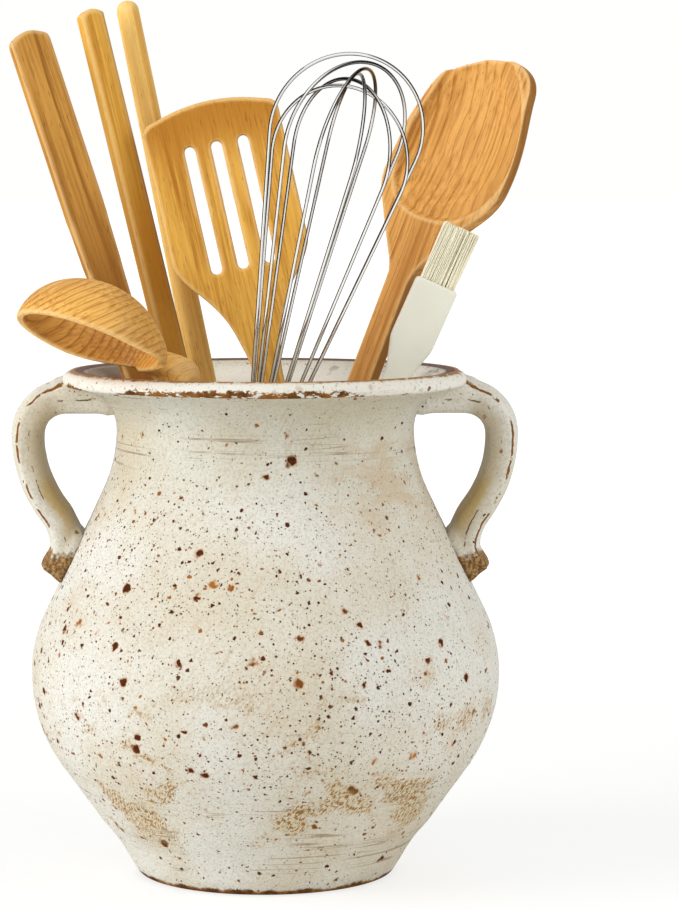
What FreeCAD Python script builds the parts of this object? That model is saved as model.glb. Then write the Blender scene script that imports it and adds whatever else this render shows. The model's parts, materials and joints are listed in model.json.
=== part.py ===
import FreeCAD, Part
import math
import os
import Sketcher

# A two-handled stoneware crock and the eight kitchen utensils that stand in it.
# +Z is up, the origin is the middle of the flat foot, and the handles lie along X.
# Millimetres and degrees.

doc = FreeCAD.newDocument("utensil_crock")
sheet = doc.addObject("Spreadsheet::Sheet", "Sizes")

CROCK = {
    "belly_radius": 100.0,
    "belly_height": 86.5,
    "belly_lower_curve": 68.9,
    "belly_upper_curve": 60.8,
    "lower_wall_lean": 35.6,
    "foot_rounding": 4.0,
    "shoulder_lean": 25.60,
    "shoulder_length": 56.72,
    "neck_curve": 59.9,
    "flare_curve": 16.6,
    "lip_land": 1.8,
    "lip_depth": 8.6,
    "wall_thickness": 5.0,
    "floor_thickness": 8.0,
    "floor_rounding": 6.0,
}
STRAPS = {
    "strap_drop": 10.8,
    "strap_run": 20.55,
    "strap_bend_radius": 16.6,
    "strap_sweep_radius": 55.0,
    "strap_sweep_angle": 37.0,
    "strap_tail_radius": 25.0,
    "strap_tail_angle": 66.0,
    "strap_thickness": 15.0,
    "strap_width": 27.0,
    "strap_crown": 3.5,
    "strap_inner_rounding": 4.0,
    "strap_ridge_rounding": 1.6,
    "strap_crown_rounding": 20.0,
}
LADLE = {
    "ladle_handle_width": 11.0,
    "ladle_handle_thickness": 9.0,
    "ladle_handle_rounding": 3.6,
    "ladle_bend_drop": 0.8,
    "ladle_bend_radius": 16.0,
    "ladle_bend_angle": 45.0,
    "ladle_stub_length": 1.0,
    "ladle_bowl_length": 64.0,
    "ladle_bowl_width": 55.6,
    "ladle_bowl_depth": 25.7,
    "ladle_bowl_wall": 3.0,
}
PADDLE = {
    "paddle_handle_width": 11.0,
    "paddle_handle_length": 180.0,
    "paddle_blade_width": 18.2,
    "paddle_taper_length": 105.0,
    "paddle_blade_length": 79.0,
    "paddle_crown": 4.0,
    "paddle_thickness": 5.2,
    "paddle_corner": 3.5,
    "paddle_taper_rounding": 60.0,
    "paddle_crown_rounding": 10.0,
    "paddle_edge": 0.8,
}
SPATULA = {
    "spatula_handle_width": 10.6,
    "spatula_blade_width": 20.0,
    "spatula_blade_length": 84.0,
    "spatula_shoulder_length": 34.0,
    "spatula_handle_length": 249.0,
    "spatula_crown": 3.0,
    "spatula_crown_rounding": 6.0,
    "spatula_shoulder_rounding": 30.0,
    "spatula_thickness": 7.2,
    "spatula_edge": 0.9,
}
SPURTLE = {
    "spurtle_length": 371.0,
    "spurtle_foot_radius": 6.8,
    "spurtle_top_radius": 4.9,
}
TURNER = {
    "turner_handle_width": 12.2,
    "turner_handle_length": 213.0,
    "turner_blade_width": 59.4,
    "turner_neck_length": 48.0,
    "turner_blade_length": 62.0,
    "turner_crown": 8.5,
    "turner_thickness": 7.0,
    "turner_blade_edge": 2.6,
    "turner_neck_rounding": 32.0,
    "turner_shoulder_rounding": 10.0,
    "turner_corner": 5.0,
    "turner_crown_rounding": 70.0,
    "turner_slot_width": 4.7,
    "turner_slot_length": 56.0,
    "turner_slot_pitch": 11.7,
    "turner_slot_setback": 6.0,
}
WHISK = {
    "whisk_handle_length": 176.0,
    "whisk_handle_end_radius": 8.2,
    "whisk_handle_mouth_radius": 6.9,
    "whisk_cap_height": 9.0,
    "whisk_cap_rounding": 7.4,
    "whisk_spigot_length": 14.0,
    "whisk_rim_rounding": 0.5,
    "whisk_wire_diameter": 1.9,
    "whisk_wire_spread": 4.4,
    "whisk_wire_bend": 20.0,
    "whisk_wire_setback": 2.5,
    "whisk_wire_hold": 30.0,
    "whisk_wire_gap": 0.4,
    "whisk_leg_lean": 10.8,
    "whisk_balloon_rise": 144.0,
}
SPOON = {
    "spoon_handle_width": 10.8,
    "spoon_handle_length": 264.0,
    "spoon_head_width": 57.0,
    "spoon_neck_length": 37.0,
    "spoon_short_side": 50.0,
    "spoon_long_side": 65.0,
    "spoon_thickness": 9.5,
    "spoon_neck_rounding": 18.0,
    "spoon_shoulder_rounding": 28.0,
    "spoon_short_corner": 13.0,
    "spoon_long_corner": 11.0,
    "spoon_dish_width": 49.0,
    "spoon_dish_length": 66.0,
    "spoon_dish_depth": 5.0,
    "spoon_dish_curve": 13.0,
    "spoon_back_rounding": 4.5,
}
BRUSH = {
    "brush_handle_width": 10.4,
    "brush_handle_length": 225.0,
    "brush_head_width": 18.6,
    "brush_neck_length": 14.0,
    "brush_head_length": 27.0,
    "brush_thickness": 8.4,
    "brush_neck_rounding": 12.0,
    "brush_corner": 1.4,
    "brush_edge": 0.9,
    "brush_socket_wall": 1.3,
    "brush_socket_depth": 14.0,
    "brush_setting_depth": 5.0,
    "brush_bristle_length": 25.5,
}
# How each utensil stands: distance of its axis from the neck wall and from the floor's edge,
# the bearings of both points round the crock, and the turn about its own axis.
STANCES = {
    "ladle": (8.3, -120.8, 3.8, -35.4, -55.9),
    "paddle": (9.0, 162.4, 37.6, 41.8, 25.0),
    "spatula": (14.7, 138.7, 25.6, 71.2, 24.0),
    "spurtle": (7.8, 117.8, 7.9, 74.6, 0.0),
    "turner": (40.4, 69.4, 3.9, 6.2, 0.0),
    "whisk": (28.6, -89.2, 4.5, 168.7, 8.0),
    "spoon": (23.6, 6.6, 17.5, -169.5, -34.0),
    "brush": (10.4, -22.6, 10.4, -148.3, 0.0),
}
STANCE_WORDS = ("neck_inset", "neck_bearing", "foot_inset", "foot_bearing", "turn")
FITS = {
    "seat_gap": 0.3,
    "slip_gap": 0.15,
}
# Share of a bar's half width that rounds each corner of its end
ROUND_END = 0.96
# How near two points must be to count as level
TOUCH = 1e-4
# Times that a standing utensil's height and lean are worked out from each other
SETTLINGS = 4
WIRE_COUNT = 6
SLOT_COUNT = 3

# Sketcher's own codes for the points of a curve and for the two axes
START, END, CENTRE = range(1, 4)
ACROSS_AXIS, UP_AXIS = range(-1, -3, -1)
ORIGIN = (ACROSS_AXIS, START)


def fill_sheet():
    """Writes every driving size into the sheet under its own alias."""
    values = {}
    for group in (CROCK, STRAPS, LADLE, PADDLE, SPATULA, SPURTLE, TURNER, WHISK, SPOON, BRUSH, FITS):
        values.update(group)
    for name, stance in STANCES.items():
        for word, value in zip(STANCE_WORDS, stance):
            values[f"{name}_{word}"] = value
    for row, (alias, value) in enumerate(values.items(), start=1):
        sheet.set(f"A{row}", alias)
        sheet.set(f"B{row}", str(value))
        sheet.setAlias(f"B{row}", alias)
    doc.recompute()


class Size:
    """A number together with the sheet expression that gives it."""

    def __init__(self, value, text):
        self.value = value
        self.text = text

    def __add__(self, other):
        other = as_size(other)
        return Size(self.value + other.value, f"({self.text} + {other.text})")

    def __sub__(self, other):
        other = as_size(other)
        return Size(self.value - other.value, f"({self.text} - {other.text})")

    def __mul__(self, other):
        other = as_size(other)
        return Size(self.value * other.value, f"({self.text} * {other.text})")

    def __truediv__(self, other):
        other = as_size(other)
        return Size(self.value / other.value, f"({self.text} / {other.text})")

    def __neg__(self):
        return self * -1


def as_size(amount):
    return amount if isinstance(amount, Size) else Size(float(amount), f"({amount})")


def size(alias):
    return Size(float(sheet.get(alias)), f"Sizes.{alias}")


def number(alias):
    return size(alias).value


def sine(angle):
    return Size(math.sin(math.radians(angle.value)), f"sin({angle.text} * 1 deg)")


def cosine(angle):
    return Size(math.cos(math.radians(angle.value)), f"cos({angle.text} * 1 deg)")


def bind(item, **sizes):
    """Ties properties of an object to sheet expressions."""
    for name, value in sizes.items():
        item.setExpression(name, as_size(value).text)


def vector(x, y, z=0.0):
    return FreeCAD.Vector(x, y, z)


# Sketch helpers

def new_body(label):
    body = doc.addObject("PartDesign::Body", label)
    body.Label = label
    return body


def new_sketch(body, name, role="XZ_Plane", offset=None):
    """A sketch on one of its own body's origin planes, lifted off it by a bound offset."""
    sketch = body.newObject("Sketcher::SketchObject", name)
    plane = [item for item in body.Origin.OriginFeatures if item.Role == role][0]
    sketch.AttachmentSupport = [(plane, "")]
    sketch.MapMode = "FlatFace"
    if offset is not None:
        sketch.setExpression("AttachmentOffset.Base.z", offset.text)
    return sketch


def dimension(sketch, kind, where, length):
    """Adds a dimension that follows its sheet expression."""
    index = sketch.addConstraint(Sketcher.Constraint(kind, *where, length.value))
    sketch.setExpression(f"Constraints[{index}]", length.text)


def arc_span(sketch, curve, degrees):
    index = sketch.addConstraint(Sketcher.Constraint("Angle", curve, math.radians(degrees.value)))
    sketch.setExpression(f"Constraints[{index}]", f"{degrees.text} * 1 deg")


def place_point(sketch, curve, end, across, up):
    """Pins a point at bound distances from the sketch's origin; a plain 0 puts it on the axis."""
    if isinstance(across, Size):
        dimension(sketch, "DistanceX", (*ORIGIN, curve, end), across)
    else:
        sketch.addConstraint(Sketcher.Constraint("PointOnObject", curve, end, UP_AXIS))
    if isinstance(up, Size):
        dimension(sketch, "DistanceY", (*ORIGIN, curve, end), up)
    else:
        sketch.addConstraint(Sketcher.Constraint("PointOnObject", curve, end, ACROSS_AXIS))


def arc(centre, radius, first, last):
    """A counter-clockwise arc between two angles."""
    circle = Part.Circle(vector(*centre), vector(0, 0, 1), radius)
    return Part.ArcOfCircle(circle, math.radians(first), math.radians(last))


def line(first, last):
    return Part.LineSegment(vector(*first), vector(*last))


def smooth_chain(sketch, pieces):
    """Draws (curve, forward) pieces end to end, each tangent to the next, and returns their indices."""
    indices = [sketch.addGeometry(curve, False) for curve, forward in pieces]
    for place in range(1, len(pieces)):
        leave = END if pieces[place - 1][1] else START
        enter = START if pieces[place][1] else END
        joint = (indices[place - 1], leave, indices[place], enter)
        sketch.addConstraint(Sketcher.Constraint("Tangent", *joint))
    return indices


def rounded_outline(sketch, corners):
    """A closed outline of straight sides: each corner is (across, up, rounding), and None leaves it sharp."""
    count = len(corners)
    points = [vector(as_size(across).value, as_size(up).value) for across, up, rounding in corners]
    starts, ends, arcs = [], [], []
    for place, (across, up, rounding) in enumerate(corners):
        here = points[place]
        back = (points[place - 1] - here).normalize()
        ahead = (points[(place + 1) % count] - here).normalize()
        radius = as_size(rounding).value if rounding is not None else 0.0
        half_angle = back.getAngle(ahead) / 2
        reach = radius / math.tan(half_angle)
        starts.append(here + back * reach)
        ends.append(here + ahead * reach)
        turns_left = back.cross(ahead).z < 0
        centre = here + (back + ahead).normalize() * (radius / math.sin(half_angle))
        arcs.append((centre, radius, turns_left))
    sides = []
    for place in range(count):
        side = Part.LineSegment(ends[place], starts[(place + 1) % count])
        sides.append(sketch.addGeometry(side, False))
    for place, (across, up, rounding) in enumerate(corners):
        before, after = sides[place - 1], sides[place]
        if rounding is None:
            sketch.addConstraint(Sketcher.Constraint("Coincident", before, END, after, START))
            place_point(sketch, after, START, across, up)
            continue
        centre, radius, turns_left = arcs[place]
        first, last = (starts[place], ends[place]) if turns_left else (ends[place], starts[place])
        angles = [math.degrees(math.atan2(p.y - centre.y, p.x - centre.x)) for p in (first, last)]
        curve = sketch.addGeometry(arc((centre.x, centre.y), radius, *angles), False)
        enter, leave = (START, END) if turns_left else (END, START)
        sketch.addConstraint(Sketcher.Constraint("Tangent", before, END, curve, enter))
        sketch.addConstraint(Sketcher.Constraint("Tangent", curve, leave, after, START))
        dimension(sketch, "Radius", (curve,), as_size(rounding))
        corner = sketch.addGeometry(Part.Point(points[place]), True)
        place_point(sketch, corner, START, across, up)
        sketch.addConstraint(Sketcher.Constraint("PointOnObject", corner, START, before))
        sketch.addConstraint(Sketcher.Constraint("PointOnObject", corner, START, after))


# Feature helpers

def revolve(body, sketch):
    turned = body.newObject("PartDesign::Revolution", "Turned")
    turned.Profile = sketch
    turned.ReferenceAxis = (sketch, ["V_Axis"])
    turned.Angle = 360.0
    return turned


def lathe(label, corners):
    """A turned body from the corners of its half section."""
    body = new_body(label)
    sketch = new_sketch(body, "Section")
    rounded_outline(sketch, corners)
    revolve(body, sketch)
    return body


def plate(body, corners, thickness):
    """A flat board of the given outline, half its thickness to either side of the middle plane."""
    sketch = new_sketch(body, "Outline")
    rounded_outline(sketch, corners)
    board = body.newObject("PartDesign::Pad", "Board")
    board.Profile = sketch
    board.SideType = "Symmetric"
    bind(board, Length=thickness)
    return board


def soften(body, feature, radius, *depths):
    """Rounds the edges of a board's broad faces, which lie at the given depths from its middle plane."""
    doc.recompute()
    edges = []
    for place, edge in enumerate(feature.Shape.Edges, start=1):
        for depth in depths:
            if all(abs(corner.Y - depth.value) < TOUCH for corner in edge.Vertexes):
                edges.append(f"Edge{place}")
    rounded = body.newObject("PartDesign::Fillet", "Rounded")
    rounded.Base = (feature, edges)
    bind(rounded, Radius=radius)
    return rounded


def pipe(body, section, spine):
    swept = body.newObject("PartDesign::AdditivePipe", "Swept")
    swept.Profile = section
    swept.Spine = (spine, [])
    return swept


def mirrored(half, crown=()):
    """A full outline from its right-hand corners, bottom first, with any corners on the axis above them."""
    left = [(-across, up, rounding) for across, up, rounding in reversed(half)]
    return [*half, *crown, *left]


# The crock

def neck_radius():
    """Outer radius of the neck, where the sweep of belly, shoulder and waist ends."""
    lean = size("shoulder_lean")
    curves = (size("belly_upper_curve") + size("neck_curve")) * (as_size(1) - cosine(lean))
    return size("belly_radius") - curves - size("shoulder_length") * sine(lean)


def neck_height():
    lean = size("shoulder_lean")
    curves = (size("belly_upper_curve") + size("neck_curve")) * sine(lean)
    return size("belly_height") + curves + size("shoulder_length") * cosine(lean)


def rim_height():
    return neck_height() + size("flare_curve") + size("lip_depth")


def crock_outline(sketch, hollow):
    """Half section of the crock; without its hollow it is the space that the handles are cut back to."""
    belly, belly_up = number("belly_radius"), number("belly_height")
    lower, upper = number("belly_lower_curve"), number("belly_upper_curve")
    neck, neck_up = neck_radius().value, neck_height().value
    waist, flare = number("neck_curve"), number("flare_curve")
    lean, slope = number("lower_wall_lean"), number("shoulder_lean")
    wall, lip = number("wall_thickness"), number("lip_depth") / 2
    lower_centre = (belly - lower, belly_up)
    upper_centre = (belly - upper, belly_up)
    waist_centre = (neck + waist, neck_up)
    flare_centre = (neck + flare, neck_up)
    lip_centre = (neck + flare + number("lip_land"), neck_up + flare + lip)
    rim = rim_height().value

    def on_circle(centre, radius, angle):
        turn = math.radians(angle)
        return (centre[0] + radius * math.cos(turn), centre[1] + radius * math.sin(turn))

    def corner_centre(level, radius, inset):
        """Centre of the rounding between a level floor and the lower wall."""
        on_wall = on_circle(lower_centre, lower - inset - radius, -lean)
        drop = on_wall[1] - level - radius
        return (on_wall[0] - drop * math.tan(math.radians(lean)), level + radius)

    foot_radius = number("foot_rounding")
    foot = corner_centre(0.0, foot_radius, 0.0)
    wall_foot, wall_top = on_circle(foot, foot_radius, -lean), on_circle(lower_centre, lower, -lean)
    shoulder_foot = on_circle(upper_centre, upper, slope)
    shoulder_top = on_circle(waist_centre, waist, 180 + slope)
    pieces = {
        "base": (line((0, 0), (foot[0], 0)), True),
        "foot": (arc(foot, foot_radius, -90, -lean), True),
        "wall": (line(wall_foot, wall_top), True),
        "lower belly": (arc(lower_centre, lower, -lean, 0), True),
        "upper belly": (arc(upper_centre, upper, 0, slope), True),
        "shoulder": (line(shoulder_foot, shoulder_top), True),
        "waist": (arc(waist_centre, waist, 180, 180 + slope), False),
        "flare": (arc(flare_centre, flare, 90, 180), False),
        "land": (line((flare_centre[0], neck_up + flare), (lip_centre[0], neck_up + flare)), True),
        "lip": (arc(lip_centre, lip, -90, 90), True),
    }
    if hollow:
        mouth = lip_centre[0] - neck + wall
        mouth_centre = (lip_centre[0], rim - mouth)
        floor_up, floor_radius = number("floor_thickness"), number("floor_rounding")
        floor = corner_centre(floor_up, floor_radius, wall)
        inner_shoulder = on_circle(waist_centre, waist + wall, 180 + slope)
        inner_belly = on_circle(upper_centre, upper - wall, slope)
        inner_wall = on_circle(lower_centre, lower - wall, -lean)
        pieces |= {
            "mouth": (arc(mouth_centre, mouth, 90, 180), True),
            "throat": (line((neck - wall, rim - mouth), (neck - wall, neck_up)), True),
            "inner waist": (arc(waist_centre, waist + wall, 180, 180 + slope), True),
            "inner shoulder": (line(inner_shoulder, inner_belly), True),
            "inner upper belly": (arc(upper_centre, upper - wall, 0, slope), False),
            "inner lower belly": (arc(lower_centre, lower - wall, -lean, 0), False),
            "inner wall": (line(inner_wall, on_circle(floor, floor_radius, -lean)), True),
            "floor edge": (arc(floor, floor_radius, -90, -lean), False),
            "top": (line((floor[0], floor_up), (0, floor_up)), True),
        }
    else:
        pieces["top"] = (line((lip_centre[0], rim), (0, rim)), True)
    curves = dict(zip(pieces, smooth_chain(sketch, list(pieces.values()))))
    base, land, top = curves["base"], curves["land"], curves["top"]
    lower_arc, waist_arc = curves["lower belly"], curves["waist"]
    axis = sketch.addGeometry(line((0, pieces["top"][0].EndPoint.y), (0, 0)), False)
    sketch.addConstraint(Sketcher.Constraint("Coincident", top, END, axis, START))
    sketch.addConstraint(Sketcher.Constraint("Coincident", axis, END, base, START))
    sketch.addConstraint(Sketcher.Constraint("Coincident", base, START, *ORIGIN))
    sketch.addConstraint(Sketcher.Constraint("PointOnObject", top, END, UP_AXIS))
    for level in (base, land, top):
        sketch.addConstraint(Sketcher.Constraint("Horizontal", level))
    place_point(sketch, lower_arc, END, size("belly_radius"), size("belly_height"))
    dimension(sketch, "DistanceY", (*ORIGIN, lower_arc, CENTRE), size("belly_height"))
    sketch.addConstraint(Sketcher.Constraint("Horizontal", waist_arc, START, waist_arc, CENTRE))
    dimension(sketch, "Distance", (curves["shoulder"],), size("shoulder_length"))
    arc_span(sketch, curves["upper belly"], size("shoulder_lean"))
    dimension(sketch, "DistanceX", (land, START, land, END), size("lip_land"))
    arc_span(sketch, lower_arc, size("lower_wall_lean"))
    radii = {
        "foot": size("foot_rounding"),
        "lower belly": size("belly_lower_curve"),
        "upper belly": size("belly_upper_curve"),
        "waist": size("neck_curve"),
        "flare": size("flare_curve"),
        "lip": size("lip_depth") / 2,
    }
    if hollow:
        lip_arc, inner_lower = curves["lip"], curves["inner lower belly"]
        sketch.addConstraint(Sketcher.Constraint("Vertical", lip_arc, START, lip_arc, END))
        sketch.addConstraint(Sketcher.Constraint("Vertical", curves["throat"]))
        inner_waist = curves["inner waist"]
        sketch.addConstraint(Sketcher.Constraint("Coincident", inner_waist, CENTRE, waist_arc, CENTRE))
        sketch.addConstraint(Sketcher.Constraint("Coincident", inner_lower, CENTRE, lower_arc, CENTRE))
        sketch.addConstraint(Sketcher.Constraint("Parallel", curves["inner wall"], curves["wall"]))
        dimension(sketch, "DistanceY", (*ORIGIN, inner_lower, END), size("belly_height"))
        dimension(sketch, "DistanceY", (*ORIGIN, top, END), size("floor_thickness"))
        radii |= {
            "inner waist": size("neck_curve") + size("wall_thickness"),
            "inner upper belly": size("belly_upper_curve") - size("wall_thickness"),
            "inner lower belly": size("belly_lower_curve") - size("wall_thickness"),
            "floor edge": size("floor_rounding"),
        }
    for name, radius in radii.items():
        dimension(sketch, "Radius", (curves[name],), radius)
    return top


def make_crock(label, hollow):
    """The crock's turned body, with the length of the level line that ends its outline on the axis."""
    body = new_body(label)
    sketch = new_sketch(body, "Half_section")
    top = crock_outline(sketch, hollow)
    revolve(body, sketch)
    doc.recompute()
    return body, sketch.Geometry[top].length()


def make_strap(label, bearing, core):
    """A crowned clay strap, bent from the lip down to the shoulder and cut back to the crock's face."""
    body = new_body(f"{label}_strap")
    neck, top_height = neck_radius(), rim_height() - size("strap_drop")
    run_end = neck + size("strap_run")
    level, bend_start = top_height.value, run_end.value
    bend, sweep, tail = number("strap_bend_radius"), number("strap_sweep_radius"), number("strap_tail_radius")
    sweep_angle, tail_angle = number("strap_sweep_angle"), number("strap_tail_angle")
    outmost, outmost_up = bend_start + bend, level - bend
    sweep_centre = (outmost - sweep, outmost_up)
    turn = math.radians(sweep_angle)
    tail_centre = (
        sweep_centre[0] + (sweep + tail) * math.cos(turn),
        sweep_centre[1] - (sweep + tail) * math.sin(turn),
    )
    spine = new_sketch(body, "Spine")
    run, bend_arc, sweep_arc, tail_arc = smooth_chain(spine, [
        (line((neck.value, level), (bend_start, level)), True),
        (arc((bend_start, outmost_up), bend, 0, 90), False),
        (arc(sweep_centre, sweep, -sweep_angle, 0), False),
        (arc(tail_centre, tail, 180 - sweep_angle, 180 - sweep_angle + tail_angle), True),
    ])
    spine.addConstraint(Sketcher.Constraint("Horizontal", run))
    place_point(spine, run, START, neck, top_height)
    dimension(spine, "DistanceX", (*ORIGIN, run, END), run_end)
    dimension(spine, "Radius", (bend_arc,), size("strap_bend_radius"))
    dimension(spine, "Radius", (sweep_arc,), size("strap_sweep_radius"))
    dimension(spine, "Radius", (tail_arc,), size("strap_tail_radius"))
    spine.addConstraint(Sketcher.Constraint("Horizontal", bend_arc, START, bend_arc, CENTRE))
    arc_span(spine, sweep_arc, size("strap_sweep_angle"))
    arc_span(spine, tail_arc, size("strap_tail_angle"))

    section = new_sketch(body, "Section", "YZ_Plane", neck)
    half_width, half = size("strap_width") / 2, size("strap_thickness") / 2
    inner = top_height - half
    ridge = top_height + half - size("strap_crown")
    rounded_outline(section, [
        (-half_width, inner, size("strap_inner_rounding")),
        (half_width, inner, size("strap_inner_rounding")),
        (half_width, ridge, size("strap_ridge_rounding")),
        (0, top_height + half, size("strap_crown_rounding")),
        (-half_width, ridge, size("strap_ridge_rounding")),
    ])
    pipe(body, section, spine)
    body.Placement = FreeCAD.Placement(vector(0, 0), FreeCAD.Rotation(vector(0, 0, 1), bearing))
    trimmed = doc.addObject("Part::Cut", label)
    trimmed.Label = label
    trimmed.Base = body
    trimmed.Tool = core
    return trimmed


# Standing the utensils in the crock

def round_end(radius):
    """How high a turned end's centre stands, however it tilts."""
    return lambda tilt: radius


def oval_end(half_width, half_thickness):
    """The same for the end of an oval bar whose broad side tilts from upright by this sine."""
    return lambda tilt: math.hypot(half_width * math.sqrt(1 - tilt ** 2), half_thickness * tilt)


def board_end(half_width, half_thickness, rounding):
    """The same for the half-round end of a board with rounded edges."""
    flat_width, flat_thickness = half_width - rounding, half_thickness - rounding
    return lambda tilt: flat_width * math.sqrt(1 - tilt ** 2) + flat_thickness * tilt + rounding


def half_of(*aliases):
    return [number(alias) / 2 for alias in aliases]


def foot_of(name):
    """Radius of the end that a utensil stands on, and the rule for how high that end's centre stands."""
    if name == "spurtle":
        return number("spurtle_foot_radius"), round_end(number("spurtle_foot_radius"))
    if name == "whisk":
        rounding, end = number("whisk_cap_rounding"), number("whisk_handle_end_radius")
        return rounding, round_end((rounding + end) / 2)
    if name == "ladle":
        halves = half_of("ladle_handle_width", "ladle_handle_thickness")
        return halves[0], oval_end(*halves)
    width = "spatula_blade_width" if name == "spatula" else f"{name}_handle_width"
    halves = half_of(width, f"{name}_thickness")
    edge = {"turner": 0.0, "spoon": number("spoon_back_rounding")}
    rounding = edge[name] if name in edge else number(f"{name}_edge")
    return halves[0], board_end(*halves, rounding)


def stand(name, floor_radius):
    """Placement of a utensil whose own +Z runs up its axis, with its rounded end on the crock's floor."""
    end_radius, rise = foot_of(name)
    neck_inset, neck_bearing, foot_inset, foot_bearing, turn = [
        number(f"{name}_{word}") for word in STANCE_WORDS
    ]
    floor = number("floor_thickness") + number("seat_gap")
    neck_reach = neck_radius().value - number("wall_thickness") - neck_inset
    foot_reach = floor_radius - foot_inset
    neck_turn, foot_turn = math.radians(neck_bearing), math.radians(foot_bearing)
    neck_up = neck_height().value
    neck = vector(neck_reach * math.cos(neck_turn), neck_reach * math.sin(neck_turn), neck_up)
    end = vector(foot_reach * math.cos(foot_turn), foot_reach * math.sin(foot_turn), floor + end_radius)
    # The end's height depends a little on the lean, and the lean on that height
    for settling in range(SETTLINGS):
        along = (neck - end).normalize()
        level = (vector(1, 0) - along * along.x).normalize()
        level = FreeCAD.Rotation(along, turn).multVec(level)
        through = along.cross(level)
        end.z = floor + rise(abs(through.z))
    return FreeCAD.Placement(end - along * end_radius, FreeCAD.Rotation(level, through, along, "ZXY"))


# The utensils, each along its own +Z with its broad side across X

def make_ladle(place):
    """The ladle, whose handle bends over the rim where it stands."""
    body = new_body("ladle")
    up = place.Rotation.multVec(vector(0, 0, 1))
    straight = (rim_height() - size("ladle_bend_drop") - place.Base.z) / up.z
    half_width, half = size("ladle_handle_width") / 2, size("ladle_handle_thickness") / 2
    bend, lean = number("ladle_bend_radius"), number("ladle_bend_angle")
    turn = math.radians(lean)
    outward = vector(0, -math.sin(turn), math.cos(turn))
    opening = vector(0, -math.cos(turn), -math.sin(turn))
    bend_end = vector(0, bend * (math.cos(turn) - 1), straight.value + bend * math.sin(turn))
    neck_end = bend_end + outward * number("ladle_stub_length")
    inside_wall = number("ladle_bowl_wall") / 2
    centre = neck_end + outward * (number("ladle_bowl_length") / 2 - inside_wall) + opening * half.value
    bowl_place = FreeCAD.Placement(centre, FreeCAD.Rotation(outward, opening.cross(outward), opening, "ZXY"))

    bowl = body.newObject("PartDesign::AdditiveEllipsoid", "Bowl")
    bowl.Placement = bowl_place
    bind(bowl, Radius1=size("ladle_bowl_depth"), Radius2=size("ladle_bowl_length") / 2,
         Radius3=size("ladle_bowl_width") / 2)
    wall = size("ladle_bowl_wall")
    hollow = body.newObject("PartDesign::SubtractiveEllipsoid", "Hollow")
    hollow.Placement = bowl_place
    bind(hollow, Radius1=size("ladle_bowl_depth") - wall, Radius2=size("ladle_bowl_length") / 2 - wall,
         Radius3=size("ladle_bowl_width") / 2 - wall)
    mouth = body.newObject("PartDesign::SubtractiveBox", "Mouth")
    corner = vector(-number("ladle_bowl_length"), -number("ladle_bowl_width"))
    mouth.Placement = bowl_place.multiply(FreeCAD.Placement(corner, FreeCAD.Rotation()))
    bind(mouth, Length=size("ladle_bowl_length") * 2, Width=size("ladle_bowl_width") * 2,
         Height=size("ladle_bowl_depth") * 2)

    spine = new_sketch(body, "Spine", "YZ_Plane")
    start, straight_end = half_width.value, straight.value
    run, bend_arc, stub = smooth_chain(spine, [
        (line((0, start), (0, straight_end)), True),
        (arc((-bend, straight_end), bend, 0, lean), True),
        (line((bend_end.y, bend_end.z), (neck_end.y, neck_end.z)), True),
    ])
    place_point(spine, run, START, 0, half_width)
    place_point(spine, run, END, 0, straight)
    dimension(spine, "Radius", (bend_arc,), size("ladle_bend_radius"))
    arc_span(spine, bend_arc, size("ladle_bend_angle"))
    dimension(spine, "Distance", (stub,), size("ladle_stub_length"))
    section = new_sketch(body, "Section", "XY_Plane", half_width)
    rounding = size("ladle_handle_rounding")
    rounded_outline(section, [
        (-half_width, -half, rounding),
        (half_width, -half, rounding),
        (half_width, half, rounding),
        (-half_width, half, rounding),
    ])
    pipe(body, section, spine)
    tip = body.newObject("PartDesign::AdditiveEllipsoid", "Handle_end")
    tip.setExpression("Placement.Base.z", half_width.text)
    bind(tip, Radius1=half_width, Radius2=half_width, Radius3=half)
    return body


def make_paddle():
    body = new_body("paddle")
    handle, blade = size("paddle_handle_width") / 2, size("paddle_blade_width") / 2
    taper = size("paddle_handle_length")
    blade_start = taper + size("paddle_taper_length")
    shoulder = blade_start + size("paddle_blade_length")
    crown = shoulder + size("paddle_crown")
    thickness = size("paddle_thickness")
    board = plate(body, mirrored([
        (handle, 0, handle * ROUND_END),
        (handle, taper, size("paddle_taper_rounding")),
        (blade, blade_start, size("paddle_taper_rounding")),
        (blade, shoulder, size("paddle_corner")),
    ], crown=[(0, crown, size("paddle_crown_rounding"))]), thickness)
    soften(body, board, size("paddle_edge"), thickness / 2, -thickness / 2)
    return body


def make_spatula():
    body = new_body("spatula")
    handle, blade = size("spatula_handle_width") / 2, size("spatula_blade_width") / 2
    blade_end = size("spatula_blade_length")
    handle_start = blade_end + size("spatula_shoulder_length")
    handle_end = handle_start + size("spatula_handle_length")
    crown = handle_end + size("spatula_crown")
    thickness = size("spatula_thickness")
    board = plate(body, mirrored([
        (blade, 0, blade * ROUND_END),
        (blade, blade_end, size("spatula_shoulder_rounding")),
        (handle, handle_start, size("spatula_shoulder_rounding")),
        (handle, handle_end, None),
    ], crown=[(0, crown, size("spatula_crown_rounding"))]), thickness)
    soften(body, board, size("spatula_edge"), thickness / 2, -thickness / 2)
    return body


def make_spurtle():
    foot, top = size("spurtle_foot_radius"), size("spurtle_top_radius")
    return lathe("spurtle", [
        (0, 0, None),
        (foot, 0, foot * ROUND_END),
        (top, size("spurtle_length"), top * ROUND_END),
        (0, size("spurtle_length"), None),
    ])


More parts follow.
